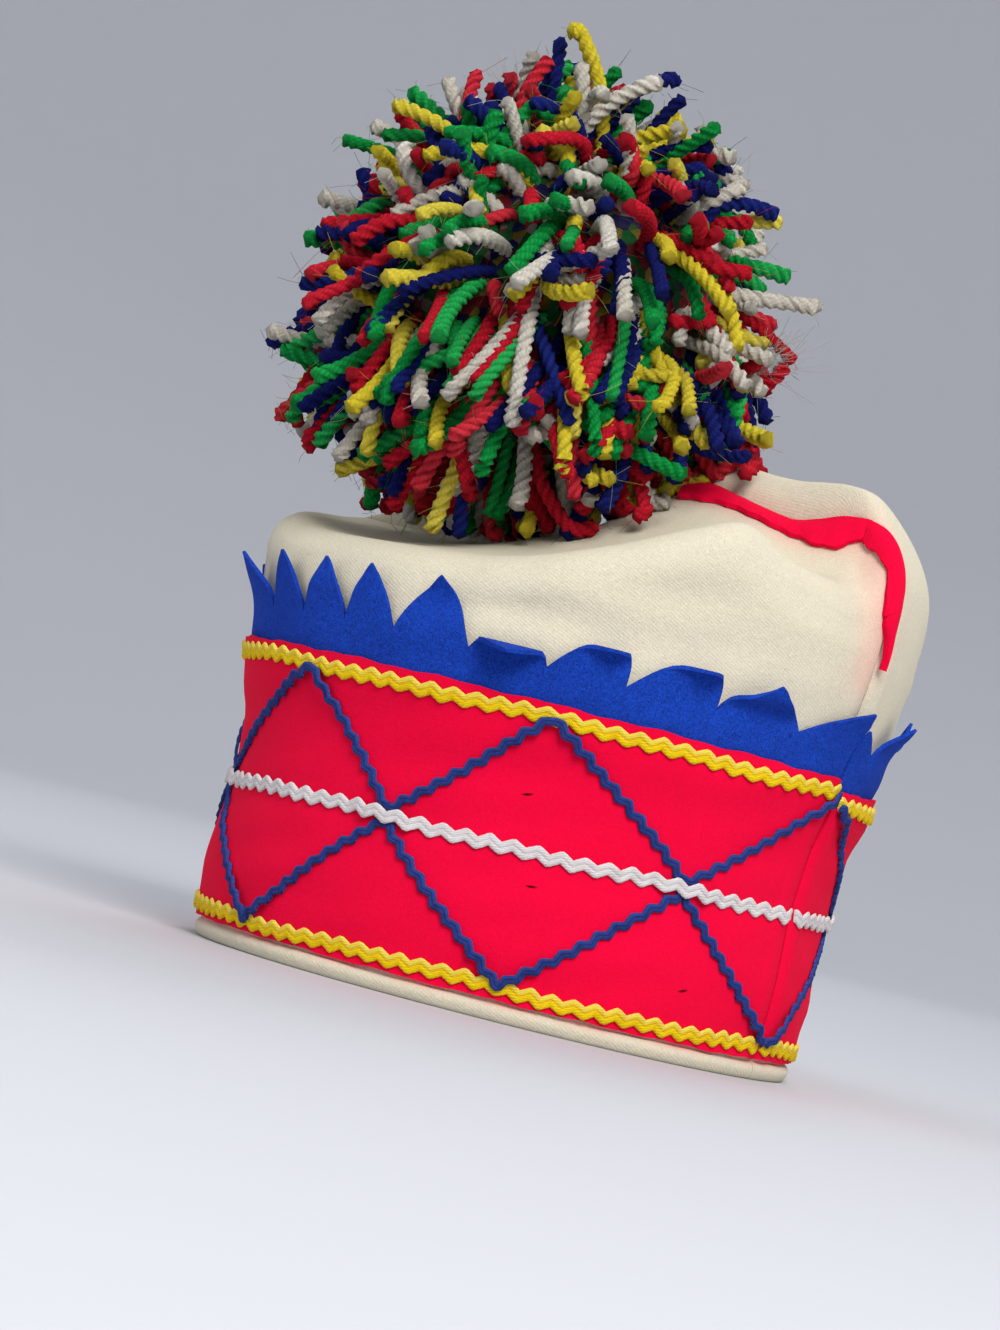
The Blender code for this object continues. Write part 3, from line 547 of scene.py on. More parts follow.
def makePanel(name, side, nodeName):
    places = columnPlaces(panelSizes["columns"], panelSizes["crowding"])[:, None]
    fromSeam = np.minimum(places, 1 - places) * seamLength
    ridge, radius = ridgeAt(side, places)
    foot = ridge - radius
    share = np.linspace(0, 1, panelSizes["wallRows"])[None, :]
    heights = cap["hemTop"] + (foot - cap["hemTop"]) * share
    wall, normal = wallAt(side, places, heights)
    wall = wall + normal * (seamGroove(fromSeam) * ease(0.006, 0.012, heights))[..., None]
    k = np.linspace(0, 1, panelSizes["crownRows"] + 1)[1:][None, :]
    inward = 0.55 * k + 0.45 * (k - 0.16 * np.sin(2 * math.pi * k))
    crown = crownAt(side, places, inward)
    seam = seamAt(places[:, 0])[:, None, :]
    fromCrownSeam = np.linalg.norm(crown - seam, axis=-1)
    sink = np.minimum(seamGroove(fromCrownSeam), 0) + seamGroove(fromSeam) * (1 - ease(0.0, 0.4, inward))
    crown[..., 2] += sink
    outer = np.concatenate([wall, crown], 1)
    normals = unit(np.cross(np.gradient(outer, axis=1), np.gradient(outer, axis=0)) * -side)
    inner = (outer - normals * cap["felt"])[:, 3:]
    # the rolled hem, from its inner top edge round under the rim
    rim, rimOut = wallAt(side, places, 0.0)
    proud, insideTop = panelSizes["hemProud"], panelSizes["hemInside"]
    inside = proud - panelSizes["hemWall"]
    hemProfile = (
        (insideTop, inside + 0.0010),
        (insideTop - 0.0006, inside + 0.0001),
        (insideTop * 0.5, inside - 0.0003),
        (0.0022, inside),
        (0.0009, inside + 0.0004),
        (0.0002, inside + 0.0011),
        (0.0, inside + 0.0019),
        (0.0, proud - 0.0017),
        (0.0003, proud - 0.0009),
        (0.0010, proud - 0.0003),
        (0.0022, proud + 0.0002),
        (0.0030, proud + 0.0003),
        (0.0038, proud + 0.0001),
        (0.0045, proud - 0.0004),
        (0.0050, proud - 0.0011),
    )
    hem = [rim + rimOut * out + np.array([0, 0, z]) for z, out in hemProfile]
    columns = np.concatenate(hem + [outer, inner[:, ::-1]], 1)
    columns[[0, -1], :, 1] = side * 0.0002
    columns[:, :, 1] = side * np.maximum(side * columns[:, :, 1], 0.0002)
    lengths = np.linalg.norm(np.diff(columns, axis=1, append=columns[:, :1]), axis=-1)
    rise = np.concatenate([np.zeros((len(places), 1)), np.cumsum(lengths, 1)[:, :-1]], 1)
    uv = np.stack([np.broadcast_to(places * seamLength, rise.shape), rise], -1)
    panel = loft(name, columns, creamFelt, uv)
    # red dye has bled a little where the red felt touches
    points = columns.reshape(-1, 3)
    hemStain = 0.75 * np.exp(-(((points[:, 2] - panelSizes["hemStain"]) / 0.0014) ** 2))
    hemStain *= 0.6 + 0.4 * np.sin(points[:, 0] * 210 + points[:, 1] * 130)
    fromStrip = np.min(np.linalg.norm(points[:, None, :] - stripRoots()[None, ::6, :], axis=-1), axis=1)
    if side == front:
        stripStain = 0.42 * np.exp(-((np.maximum(fromStrip - 0.007, 0) / 0.006) ** 2))
    else:
        stripStain = 0.25 * np.exp(-((fromStrip / 0.006) ** 2))
    paint(panel.data, "dyeBleed", np.maximum(hemStain, stripStain))
    return dress(panel, "cream_felt", nodeName)


def stripRoots():
    # the line of the red strip: along the crown seam, round the corner and down the side seam
    top = seamAt(np.linspace(seamStrip["start"], 0.0, 60))
    side = crownAt(front, np.zeros(40), np.linspace(1, 0, 40))
    foot = side[-1, 2]
    down, _ = wallAt(front, np.zeros(24), np.linspace(foot, seamStrip["tip"], 24))
    return np.concatenate([top, side[1:], down[1:]])


crownFront = makePanel("crownFront", front, "crown_panel_front")
crownBack = makePanel("crownBack", back, "crown_panel_back")
print("crown panels lofted")

# red band
band = {
    "bottom": 0.0060,
    "felt": 0.0015,
    "tuck": 0.0065,
    "stripFelt": 0.0014,
    "liftFrom": 0.0700,  # from here up it lifts over the tucked blue strip
    "backDrop": 0.0035,
    "seamMargin": 0.0012,
    "columns": 150,
    "crowding": 0.10,
    "rows": 27,
}
trim = {"lower": 0.0096, "middle": 0.0490, "upper": 0.0868}  # heights of the level braids


def dropAt(side, place):
    return band["backDrop"] * (1 - place) ** 2 if side == back else np.zeros_like(place)


def bandLift(side, place, height):
    edge = cap["bandTop"] - dropAt(side, place) - band["tuck"]
    return (band["stripFelt"] + cap["gap"]) * ramp(band["liftFrom"], edge - 0.001, height)


def bandAt(side, place, height, out=0.0):
    # outer face of the band, with the puckers that the sewn braids leave
    place, height = np.broadcast_arrays(np.asarray(place, float), np.asarray(height, float))
    point, normal = wallAt(side, place, height)
    lift = cap["gap"] + bandLift(side, place, height) + band["felt"]
    lift = lift + 0.7 * seamGroove(np.minimum(place, 1 - place) * seamLength)
    for row in trim.values():
        pucker = 0.00022 * np.sin(place * seamLength / 0.0052 + row * 900) - 0.00030
        lift = lift + pucker * np.exp(-(((height - row) / 0.0035) ** 2))
    return point + normal * np.asarray(lift + out)[..., None]


def makeBand(name, side, nodeName):
    margin = band["seamMargin"]
    places = np.clip(columnPlaces(band["columns"], band["crowding"]), margin, 1 - margin)[:, None]
    wobble = 0.00025 * np.sin(places * 61) + 0.0002 * np.sin(places * 147 + side)
    top = cap["bandTop"] - dropAt(side, places) + wobble
    bottom = band["bottom"] + 0.7 * wobble
    share = np.linspace(0, 1, band["rows"])[None, :]
    heights = bottom + (top - bottom) * share
    outer = bandAt(side, places, heights)
    inner, normal = wallAt(side, places, heights)
    inner = inner + normal * (cap["gap"] + bandLift(side, places, heights))[..., None]
    columns = np.concatenate([outer, inner[:, ::-1]], 1)
    around = np.broadcast_to(places * seamLength, columns.shape[:2])
    uv = np.stack([around, np.concatenate([heights, heights[:, ::-1]], 1)], -1)
    piece = loft(name, columns, redFelt, uv, sharp=60)
    # only the front band is nicked
    paint(piece.data, "nickShare", np.full(len(piece.data.vertices), float(side == front)))
    return dress(piece, "red_felt", nodeName)


bandFront = makeBand("redBandFront", front, "red_band_front")
bandBack = makeBand("redBandBack", back, "red_band_back")
print("band sewn on")

# blue strip cut into leaf-shaped points
blueStrip = {"base": 0.0095, "tip": 0.0165, "perPoint": 18, "rise": 14, "standOff": 0.07}
# width as a share of the panel, tip as a share, lean in half widths, bend in degrees, where the bend
# sits, and how far the tip turns back in degrees
frontPoints = [
    (0.090, 0.72, -1.05, 18, 0.45, 0),
    (0.095, 0.90, 0.05, 75, 0.34, 72),
    (0.090, 1.00, -0.60, 90, 0.58, 0),
    (0.075, 1.00, -0.60, 92, 0.54, 0),
    (0.075, 0.95, -0.20, 104, 0.26, 0),
    (0.077, 1.14, 0.02, 3, 0.50, 0),
    (0.062, 1.10, 0.22, 5, 0.50, 0),
    (0.064, 1.08, 0.20, 6, 0.40, 0),
    (0.064, 1.06, 0.30, 12, 0.35, 0),
    (0.070, 1.02, 0.45, 34, 0.30, 0),
    (0.060, 0.98, 0.10, 24, 0.35, 0),
    (0.060, 0.96, 0.00, 28, 0.40, 0),
    (0.058, 0.94, 0.10, 20, 0.40, 0),
    (0.060, 0.90, 0.15, 20, 0.40, 0),
]
backPoints = [
    (0.045, 0.60, -0.50, 8, 0.40, 0),
    (0.080, 0.95, 0.00, 34, 0.40, 0),
    (0.085, 1.00, 0.10, 12, 0.40, 0),
    (0.085, 0.92, 0.00, 60, 0.35, 30),
    (0.090, 0.98, -0.20, 30, 0.40, 0),
    (0.085, 1.00, 0.00, 6, 0.40, 0),
    (0.088, 0.94, 0.10, 80, 0.35, 0),
    (0.085, 0.97, 0.00, 18, 0.40, 0),
    (0.090, 1.00, -0.10, 8, 0.40, 0),
    (0.088, 0.93, 0.20, 14, 0.40, 0),
    (0.089, 0.98, 0.00, 40, 0.40, 0),
    (0.090, 0.95, 0.00, 18, 0.40, 0),
]


def bentLeaf(distance, tip, bend, bendAt, turnBack):
    # how far up and out a point of the leaf lies, this far along it
    steps = np.linspace(0, 1, 41)
    angle = np.radians(bend) * ease(bendAt - 0.25, bendAt + 0.25, steps)
    angle = angle - np.radians(turnBack) * ease(bendAt + 0.2, 1.0, steps)
    up = np.concatenate([[0], np.cumsum(np.cos(angle[1:]) * tip / 40)])
    out = np.concatenate([[0], np.cumsum(np.sin(angle[1:]) * tip / 40)])
    share = np.clip(distance / tip, 0, 1)
    return [np.interp(share, steps, values) for values in (up, out, angle)]


def makeStrip(name, side, points, nodeName):
    total = sum(point[0] for point in points)
    margin = 0.0016
    tuckRows = 6
    columns, uvs = [], []
    start = 0.0
    for number, (width, tipShare, lean, bend, bendAt, turnBack) in enumerate(points):
        tip = blueStrip["tip"] * tipShare
        middle = start + width / 2
        first = 0 if number == 0 else 1
        for k in range(first, blueStrip["perPoint"] + 1):
            q = -1 + 2 * k / blueStrip["perPoint"]
            top = max(tip * (1 - 0.70 * abs(q) - 0.30 * abs(q) ** 4), 0.00018)
            top += 0.00018 * math.sin(41 * q + 7 * number) * (1 - abs(q))
            along = np.linspace(0, top, blueStrip["rise"])
            place = (middle + q * width / 2 + lean * width / 2 * along / tip) / total
            place = margin + (1 - 2 * margin) * place
            flatPlace = place[0]
            upper = cap["bandTop"] - float(dropAt(side, flatPlace))
            base = upper + blueStrip["base"]
            low = np.linspace(upper - band["tuck"], base, tuckRows + 1)[:-1]
            flatRows = np.zeros(tuckRows)
            up, out, turned = bentLeaf(along, tip, bend, bendAt, turnBack)
            heights = np.concatenate([low, base + up])
            spots = np.concatenate([flatRows + flatPlace, place])
            spots = np.clip(spots, 0.0, 1.0) if abs(lean) < 1 else spots
            away = np.concatenate([flatRows, out]) + blueStrip["standOff"] * np.maximum(heights - upper, 0)
            tilt = np.concatenate([flatRows, turned])
            point, normal = wallAt(side, spots, heights)
            point = point + normal * (cap["gap"] + away)[:, None]
            skin = normal * np.cos(tilt)[:, None] - np.array([0, 0, 1.0]) * np.sin(tilt)[:, None]
            thick = band["stripFelt"] * np.concatenate([flatRows + 1, 1 - 0.35 * (along / tip) ** 3])
            columns.append(np.concatenate([point + skin * thick[:, None], point[::-1]]))
            length = np.concatenate([low - upper, base - upper + along])
            flat = np.full(len(length), flatPlace * seamLength)
            uvs.append(np.stack([np.concatenate([flat, flat]), np.concatenate([length, length[::-1]])], -1))
        start += width
    strip = loft(name, np.array(columns), blueFelt, np.array(uvs), sharp=60)
    return dress(strip, "blue_felt", nodeName)


pointsFront = makeStrip("bluePointsFront", front, frontPoints, "pointed_strip_front")
pointsBack = makeStrip("bluePointsBack", back, backPoints, "pointed_strip_back")
print("points cut")


# red strip in the crown seam
def seamSurface(place, inward, height):
    # front panel's face and its outward direction, on the crown (height None) or on the wall
    def at(p, i, h):
        return crownAt(front, p, i) if height is None else wallAt(front, p, h)[0]

    small = 0.004
    middle = at(place, inward, height)
    level = height if height is not None else 0.0
    left = at(place + small, inward, height)
    right = at(np.maximum(place - small, 0), inward, height)
    up = at(place, np.minimum(inward + 0.02, 1), level + 0.001)
    down = at(place, np.maximum(inward - 0.02, 0), level - 0.001)
    return middle, unit(np.cross(up - down, left - right))


def makeSeamStrip():
    width = seamStrip["width"]
    acrossPlace = width / seamLength
    # boundary of the panel: over the crown, then down the side
    top = [(place, 1.0, None) for place in np.linspace(seamStrip["start"], 0.0, 90)]
    corner = [(0.0, inward, None) for inward in np.linspace(1.0, 0.0, 34)[1:]]
    ridge, radius = ridgeAt(front, np.array(0.0))
    foot = float(ridge - radius)
    shoulderHeight = 0.14
    down = [(0.0, 0.0, height) for height in np.linspace(foot, seamStrip["tip"], 26)[1:]]
    stations = top + corner + down
    rows = np.linspace(0, 1, 10)
    columns, uvs, reach, last = [], [], 0.0, None
    for k, (place, inward, height) in enumerate(stations):
        # narrower from the corner on, and drawn to a tip at the end
        narrow = float(ease(0, 25, len(stations) - 1 - k)) * 0.94 + 0.06
        narrow *= 1 - seamStrip["narrowing"] * float(ease(88, 116, k))
        wave = 1 + 0.10 * math.sin(k * 0.21) + 0.04 * math.sin(k * 0.63 + 1) + 0.012 * math.sin(k * 1.9)
        nearPlace = max(place, acrossPlace)
        flat = np.linalg.norm(seamAt(np.array(nearPlace)) - wallAt(front, nearPlace, shoulderHeight)[0])
        acrossIn = min(0.62, width * wave / flat)
        if height is None:
            toPlace, toIn = max(place, acrossPlace * wave * narrow), min(inward, 1 - acrossIn)
            spots = (place + (toPlace - place) * rows, inward + (toIn - inward) * rows)
            middle, out = seamSurface(spots[0], spots[1], None)
        else:
            toPlace = acrossPlace * wave * narrow
            middle, out = seamSurface(toPlace * rows, 0.0 * rows, height + 0.0 * rows)
        middle[:, 1] = np.minimum(middle[:, 1], -0.0006)
        roll = cap["gap"] + 0.0011 * np.sin(math.pi * rows) + 0.0006 * (1 - rows) ** 2
        inner = middle + out * roll[:, None]
        outer = middle + out * (roll + seamStrip["felt"])[:, None]
        columns.append(np.concatenate([outer, inner[::-1]]))
        reach += 0 if last is None else float(np.linalg.norm(outer[0] - last))
        last = outer[0]
        uvs.append(np.stack([np.full(20, reach), np.concatenate([rows, rows[::-1]]) * width], -1))
    strip = loft("redSeamStrip", np.array(columns), redFelt, np.array(uvs), sharp=60)
    return dress(strip, "red_felt", "red_seam_strip")


seamRed = makeSeamStrip()
print("seam strip laid")

# wavy braid trims
braids = {
    "yellow": {"width": 0.0038, "wave": 0.00072, "pitch": 0.0063, "thick": 0.0009, "finish": yellowBraid},
    "white": {"width": 0.0036, "wave": 0.00076, "pitch": 0.0068, "thick": 0.0009, "finish": whiteBraid},
    "navy": {"width": 0.0026, "wave": 0.00062, "pitch": 0.0057, "thick": 0.0010, "finish": navyBraid},
    "reach": 0.0055,
    "fall": 0.0065,
}
# across a braid: place in half widths and height in thicknesses
halfProfile = ((1, 0.0), (1.02, 0.45), (0.72, 0.95), (0.25, 0.80))
braidProfile = [(-v, h) for v, h in halfProfile] + list(halfProfile[::-1])
step = braids["yellow"]["thick"] + cap["gap"]
# places where the navy braids turn
zigzags = {
    front: {"upper": (0.0, 0.33, 0.59, 1.0), "lower": (0.0, 0.32, 0.62, 1.0), "crossing": (0.16, 0.47, 0.78)},
    back: {"upper": (0.0, 0.33, 0.67, 1.0), "lower": (0.0, 0.34, 0.66, 1.0), "crossing": (0.16, 0.50, 0.83)},
}


def rowHeight(side, place, row):
    sag = 0.0004 * np.sin(place * 17 + row * 100) + 0.00025 * np.sin(place * 41)
    return row + sag - (dropAt(side, place) if row == trim["upper"] else 0)


def makeBraid(style, row, side, word, route, liftOf, phase=0.0):
    # route: places and heights. The wave runs to either side of it.
    sizes = braids[style]
    flat = np.stack([route[:, 0] * seamLength, route[:, 1]], -1)
    reach = np.concatenate([[0], np.cumsum(np.linalg.norm(np.diff(flat, axis=0), axis=1))])
    count = int(reach[-1] / sizes["pitch"] * 11)
    at = np.linspace(0, reach[-1], count)
    centre = np.stack([np.interp(at, reach, flat[:, 0]), np.interp(at, reach, flat[:, 1])], -1)
    soft = max(3, int(0.0022 / (at[1] - at[0])) | 1)
    padded = np.pad(centre, ((soft // 2, soft // 2), (0, 0)), mode="edge")
    kernel = np.ones(soft) / soft
    centre = np.stack([np.convolve(padded[:, i], kernel, "valid") for i in (0, 1)], -1)
    way = unit(np.gradient(centre, axis=0))
    across = np.stack([-way[:, 1], way[:, 0]], -1)
    turn = 2 * math.pi * at / sizes["pitch"] + phase
    wave = np.sin(turn) - np.sin(3 * turn) / 9
    uneven = 1 + 0.10 * np.sin(at * 310 + phase) + 0.06 * np.sin(at * 811)
    middle = centre + across * (sizes["wave"] * wave * uneven)[:, None]
    slope = unit(np.gradient(middle, axis=0))
    aside = 0.6 * across + 0.4 * np.stack([-slope[:, 1], slope[:, 0]], -1)
    lift = liftOf(centre[:, 0] / seamLength, centre[:, 1])
    rings = []
    for v, h in braidProfile:
        spot = middle + aside * (v * sizes["width"] / 2)
        out = cap["gap"] * 0.75 + lift + h * sizes["thick"] * (1 + 0.10 * np.sin(2 * turn + v))
        rings.append(bandAt(side, spot[:, 0] / seamLength, spot[:, 1], out))
    columns = np.stack(rings, 1)
    along, beside = np.meshgrid(at, [v for v, _ in braidProfile], indexing="ij")
    name = style + row.title() + word.title()
    piece = loft(name, columns, sizes["finish"], np.stack([along, beside], -1), sharp=75)
    return dress(piece, style + "_braid", f"{style}_{row}_braid_{word}")


def flatLift(place, height):
    return np.zeros_like(place)


def overCrossings(side):
    def liftOf(place, height):
        nearest = np.min([np.abs(place - crossing) for crossing in zigzags[side]["crossing"]], axis=0)
        return step * (1 - ramp(braids["reach"], braids["reach"] + braids["fall"], nearest * seamLength))

    return liftOf


def overRow(side, row):
    def liftOf(place, height):
        above = np.abs(height - rowHeight(side, place, row))
        return step * (1 - ramp(braids["reach"], braids["reach"] + braids["fall"], above))

    return liftOf


def levelRoute(side, row):
    places = np.linspace(0.004, 0.996, 400)
    return np.stack([places, rowHeight(side, places, row)], -1)


def zigzagRoute(side, label, farShift, nearShift):
    # from the far row to the middle row and back
    turns = [zigzags[side][label][0]]
    for nearPlace, farPlace in zip(zigzags[side]["crossing"], zigzags[side][label][1:]):
        turns += [nearPlace, farPlace]
    route = []
    for leg, (start, end) in enumerate(zip(turns, turns[1:])):
        for share in np.linspace(0, 1, 31)[: 31 if leg == 5 else 30]:
            place = 0.003 + 0.994 * (start + (end - start) * share)
            far = float(rowHeight(side, np.array(place), trim[label])) + farShift
            near = float(rowHeight(side, np.array(place), trim["middle"])) + nearShift
            swing = share if leg % 2 == 0 else 1 - share
            bow = 0.0008 * math.sin(math.pi * share) * math.sin(3.1 * leg + side)
            route.append((place, far + (near - far) * swing + bow))
    return np.array(route)


for side, word in ((front, "front"), (back, "back")):
    for style, row, phase in (("yellow", "upper", 0.4), ("yellow", "lower", 2.0), ("white", "middle", 1.1)):
        liftOf = overCrossings(side) if row == "middle" else flatLift
        makeBraid(style, row, side, word, levelRoute(side, trim[row]), liftOf, phase)
    for row, farShift, nearShift in (("upper", -0.0004, 0.0016), ("lower", 0.0004, -0.0016)):
        route = zigzagRoute(side, row, farShift, nearShift)
        makeBraid("navy", row, side, word, route, overRow(side, trim[row]))
print("braids sewn")

# yarn pompom
yarnBall = {
    "centre": (-0.0262, -0.0236, 0.2082),
    "radius": 0.0795,
    "strands": 1000,
    "rings": 30,
    "sides": 9,
    "girth": 0.00236,
    "lobes": 3,
    "twistPitch": 0.0104,
    "root": 0.044,
    "heart": 0.051,
    "tufts": 46,
    "hairs": 5900,
    "hairGirth": 0.00007,
    "wispHairs": 110,
    "wisps": (((-0.46, 0.12, 0.88), 0.014), ((0.86, 0.48, 0.02), 0.009)),
}


def evenDirections(count):
    k = np.arange(count) + 0.5
    polar = np.arccos(1 - 2 * k / count)
    turn = math.pi * (1 + 5**0.5) * k
    return np.stack([np.sin(polar) * np.cos(turn), np.sin(polar) * np.sin(turn), np.cos(polar)], -1)


def restOnCrown(paths):
    # the low strands lie on the crown instead of passing through it
    corners, faces = [], []
    for panel in (crownFront, crownBack):
        faces += [[len(corners) + v for v in p.vertices] for p in panel.data.polygons]
        corners += [v.co[:] for v in panel.data.vertices]
    tree = BVHTree.FromPolygons(corners, faces)
    aboveCrown, lowest, clear = 0.20, 0.185, 0.0030
    flat = paths.reshape(-1, 3)
    for k in np.nonzero(flat[:, 2] < lowest)[0]:
        x, y, z = flat[k]
        hit = tree.ray_cast(Vector((x, y, aboveCrown)), Vector((0, 0, -1)))[0]
        if hit is not None and hit.z > cap["bandTop"] and z < hit.z + clear:
            flat[k, 2] = hit.z + clear
    paths = flat.reshape(paths.shape)
    smooth = paths.copy()
    smooth[:, 1:-1, 2] = (paths[:, :-2, 2] + paths[:, 1:-1, 2] + paths[:, 2:, 2]) / 3
    smooth[..., 2] = np.maximum(smooth[..., 2], paths[..., 2])
    return smooth


def strandPaths():
    count, rings = yarnBall["strands"], yarnBall["rings"]
    centre = np.array(yarnBall["centre"])
    way = unit(evenDirections(count) + scatter.normal(0, 0.085, (count, 3)))
    # neighbours lean the same way in loose tufts
    tuftCount = yarnBall["tufts"]
    tufts = unit(evenDirections(tuftCount) + scatter.normal(0, 0.16, (tuftCount, 3)))
    tuftLean = scatter.normal(0, 1, (tuftCount, 3))
    nearest = np.argmax(way @ tufts.T, axis=1)
    gather = (tufts[nearest] - way) * 0.6
    lean = 0.62 * tuftLean[nearest] + gather + scatter.normal(0, 0.62, (count, 3))
    lean -= way * np.sum(lean * way, axis=1, keepdims=True)
    lean /= np.maximum(np.linalg.norm(lean, axis=1, keepdims=True), 0.6)
    under = ease(0.45, 0.95, -way[:, 2])
    tuftReach = scatter.uniform(-0.07, 0.05, tuftCount)[nearest]
    reach = yarnBall["radius"] * (0.97 + tuftReach + scatter.uniform(-0.16, 0.07, count))
    long = scatter.uniform(0, 1, count) > 0.95
    long = long | ((way[:, 1] < -0.35) & (way[:, 2] < -0.25) & (scatter.uniform(0, 1, count) > 0.45))
    reach = np.where(long, reach * 1.08, reach)
    reach = reach * (1 - under) + np.minimum(reach, yarnBall["radius"] * 0.94) * under
    t = np.linspace(0, 1, rings)[None, :, None]
    start = yarnBall["root"]
    radial = way[:, None, :] * (start + (reach[:, None, None] - start) * (t - 0.16 * t**3))
    bendSize = scatter.uniform(0.006, 0.027, count) * (1 - 0.5 * under)
    sway = lean[:, None, :] * bendSize[:, None, None] * t**1.8
    hook = scatter.normal(0, 1, (count, 3)) * scatter.uniform(0.0, 0.010, count)[:, None]
    sway = sway + hook[:, None, :] * np.maximum(t - 0.5, 0) ** 2 * 3
    droop = np.zeros_like(radial)
    hang = (1 - np.abs(way[:, 2])) * (0.5 + 1.0 * scatter.uniform(0, 1, count))
    droop[..., 2] = -0.017 * t[..., 0] ** 2 * hang[:, None]
    ball = radial + sway + droop
    far = np.linalg.norm(ball, axis=-1, keepdims=True)
    most = yarnBall["radius"] * np.where(long, 1.08, 1.035)[:, None, None]
    ball = ball * np.minimum(1, most / far)
    return restOnCrown(ball + centre)


def tubesAround(paths, girth, sides, lobes, twistPitch, rootGirth=0.8):
    # plied tubes: points, ply grooves (which carry painted shade) and map of all strands at once
    along = unit(np.gradient(paths, axis=1))
    guide = np.cross(along[:, :1], np.array([0.31, 0.87, 0.39]))
    sideways = unit(guide - along * np.sum(guide * along, -1, keepdims=True))[:, :, None, :]
    upward = np.cross(along[:, :, None, :], sideways)
    steps = np.linalg.norm(np.diff(paths, axis=1, prepend=paths[:, :1]), axis=-1)
    lengths = np.cumsum(steps, 1)
    turn = np.linspace(0, 2 * math.pi, sides, endpoint=False)[None, None, :]
    twist = 2 * math.pi * lengths[..., None] / twistPitch
    ply = np.abs(np.sin(lobes / 2 * turn)) + 0 * twist
    shape = 0.69 + 0.35 * ply
    turn = turn + twist
    k = np.linspace(0, 1, paths.shape[1])
    taper = rootGirth + (1 - rootGirth) * ease(0, 0.5, k)
    taper = taper * (1 + 0.10 * ease(0.84, 0.97, k))
    radius = girth[:, None, None] * shape * taper[None, :, None]
    out = np.cos(turn)[..., None] * sideways + np.sin(turn)[..., None] * upward
    ring = paths[:, :, None, :] + radius[..., None] * out
    uv = np.stack([np.broadcast_to(lengths[..., None], ply.shape), turn / (2 * math.pi) + 0 * ply], -1)
    return ring, 1 - ply, uv, along


def tubeFaces(count, rings, sides, offset):
    s, k, j = np.meshgrid(np.arange(count), np.arange(rings - 1), np.arange(sides), indexing="ij")
    after = (j + 1) % sides
    low = offset + (s * rings + k) * sides
    high = low + sides
    return np.stack([low + j, low + after, high + after, high + j], -1).reshape(-1, 4)


def hairPaths(paths, owners, count):
    rings = paths.shape[1]
    pick = scatter.integers(0, len(owners), count)
    spot = np.minimum((rings * (1 - 0.62 * scatter.uniform(0, 1, count) ** 1.6)).astype(int), rings - 1)
    strand = paths[owners[pick]]
    start = strand[np.arange(count), spot]
    before = strand[np.arange(count), spot - 1]
    aside = unit(scatter.normal(0, 1, (count, 3)))
    curl = scatter.normal(0, 1, (count, 3))
    length = scatter.uniform(0.0020, 0.0060, count)[:, None]
    t = np.linspace(0, 1, 4)[None, :, None]
    head = (0.7 * unit(start - before) + 0.9 * aside)[:, None, :]
    return start[:, None, :] + head * length[:, None] * t + curl[:, None, :] * length[:, None] * 0.6 * t**2


def wispPaths():
    # two tufts of unspun wool that stick out of the white yarn
    centre = np.array(yarnBall["centre"])
    count = yarnBall["wispHairs"]
    made = []
    for way, length in yarnBall["wisps"]:
        way = unit(np.array(way))
        t = np.linspace(0, 1, 4)[None, :, None]
        start = centre + way * yarnBall["radius"] * 0.86 + scatter.normal(0, 0.0022, (count, 3))
        aside = way * 0.8 + scatter.normal(0, 0.42, (count, 3))
        curl = scatter.normal(0, 1.2, (count, 3)) + np.array([-0.5, 0.2, 0.9])
        reach = length * scatter.uniform(0.5, 1.0, count)[:, None, None]
        bent = aside[:, None, :] * reach * t + curl[:, None, :] * reach * 0.4 * t**2
        made.append(start[:, None, :] + bent)
    return np.concatenate(made)


def keepInside(points, most):
    centre = np.array(yarnBall["centre"])
    away = points - centre
    far = np.linalg.norm(away, axis=-1, keepdims=True)
    return centre + away * np.minimum(1, most / far)


def makeYarnEnds(name, material, paths, girths, tones, hairs):
    # one colour: plied strands closed at both ends, then the loose fibres
    count, rings, sides = len(paths), yarnBall["rings"], yarnBall["sides"]
    ring, groove, uv, along = tubesAround(paths, girths, sides, yarnBall["lobes"], yarnBall["twistPitch"])
    faces = tubeFaces(count, rings, sides, 0).tolist()
    tips = ring[:, -1].mean(1) + along[:, -1] * girths[:, None] * 0.55
    tipStart = count * rings * sides
    rootStart = tipStart + count
    for s in range(count):
        first = s * rings * sides
        last = first + (rings - 1) * sides
        faces += [[last + j, last + (j + 1) % sides, tipStart + s] for j in range(sides)]
        faces += [[first + (j + 1) % sides, first + j, rootStart + s] for j in range(sides)]
    hairRing, _, hairUv, _ = tubesAround(hairs, np.full(len(hairs), yarnBall["hairGirth"]), 3, 1, 1.0, 1.0)
    hairStart = rootStart + count
    hairPoints = len(hairs) * 12
    faces += tubeFaces(len(hairs), 4, 3, hairStart).tolist()
    for first in range(hairStart, hairStart + hairPoints, 12):
        faces += [[first + 2, first + 1, first], [first + 9, first + 10, first + 11]]
    points = np.concatenate([ring.reshape(-1, 3), tips, paths[:, 0], hairRing.reshape(-1, 3)])
    maps = np.concatenate([uv.reshape(-1, 2), np.zeros((2 * count, 2)), hairUv.reshape(-1, 2)])
    mesh = smoothMesh(name, points, faces, "yarnMap", maps, material)
    tone = [np.repeat(tones, rings * sides), tones, tones, np.full(hairPoints, 0.75)]
    # painted shade: full at the roots deep in the ball, half at the tips, along the ply grooves, none on the
    # loose fibres
    shade = [groove.ravel() ** 2, np.full(count, 0.5), np.ones(count), np.zeros(hairPoints)]
    paint(mesh, "strandTone", np.concatenate(tone))
    paint(mesh, "plyGrooveShade", np.concatenate(shade))
    return dress(putAway(bpy.data.objects.new(name, mesh)), "mixed_yarn", "pompom")


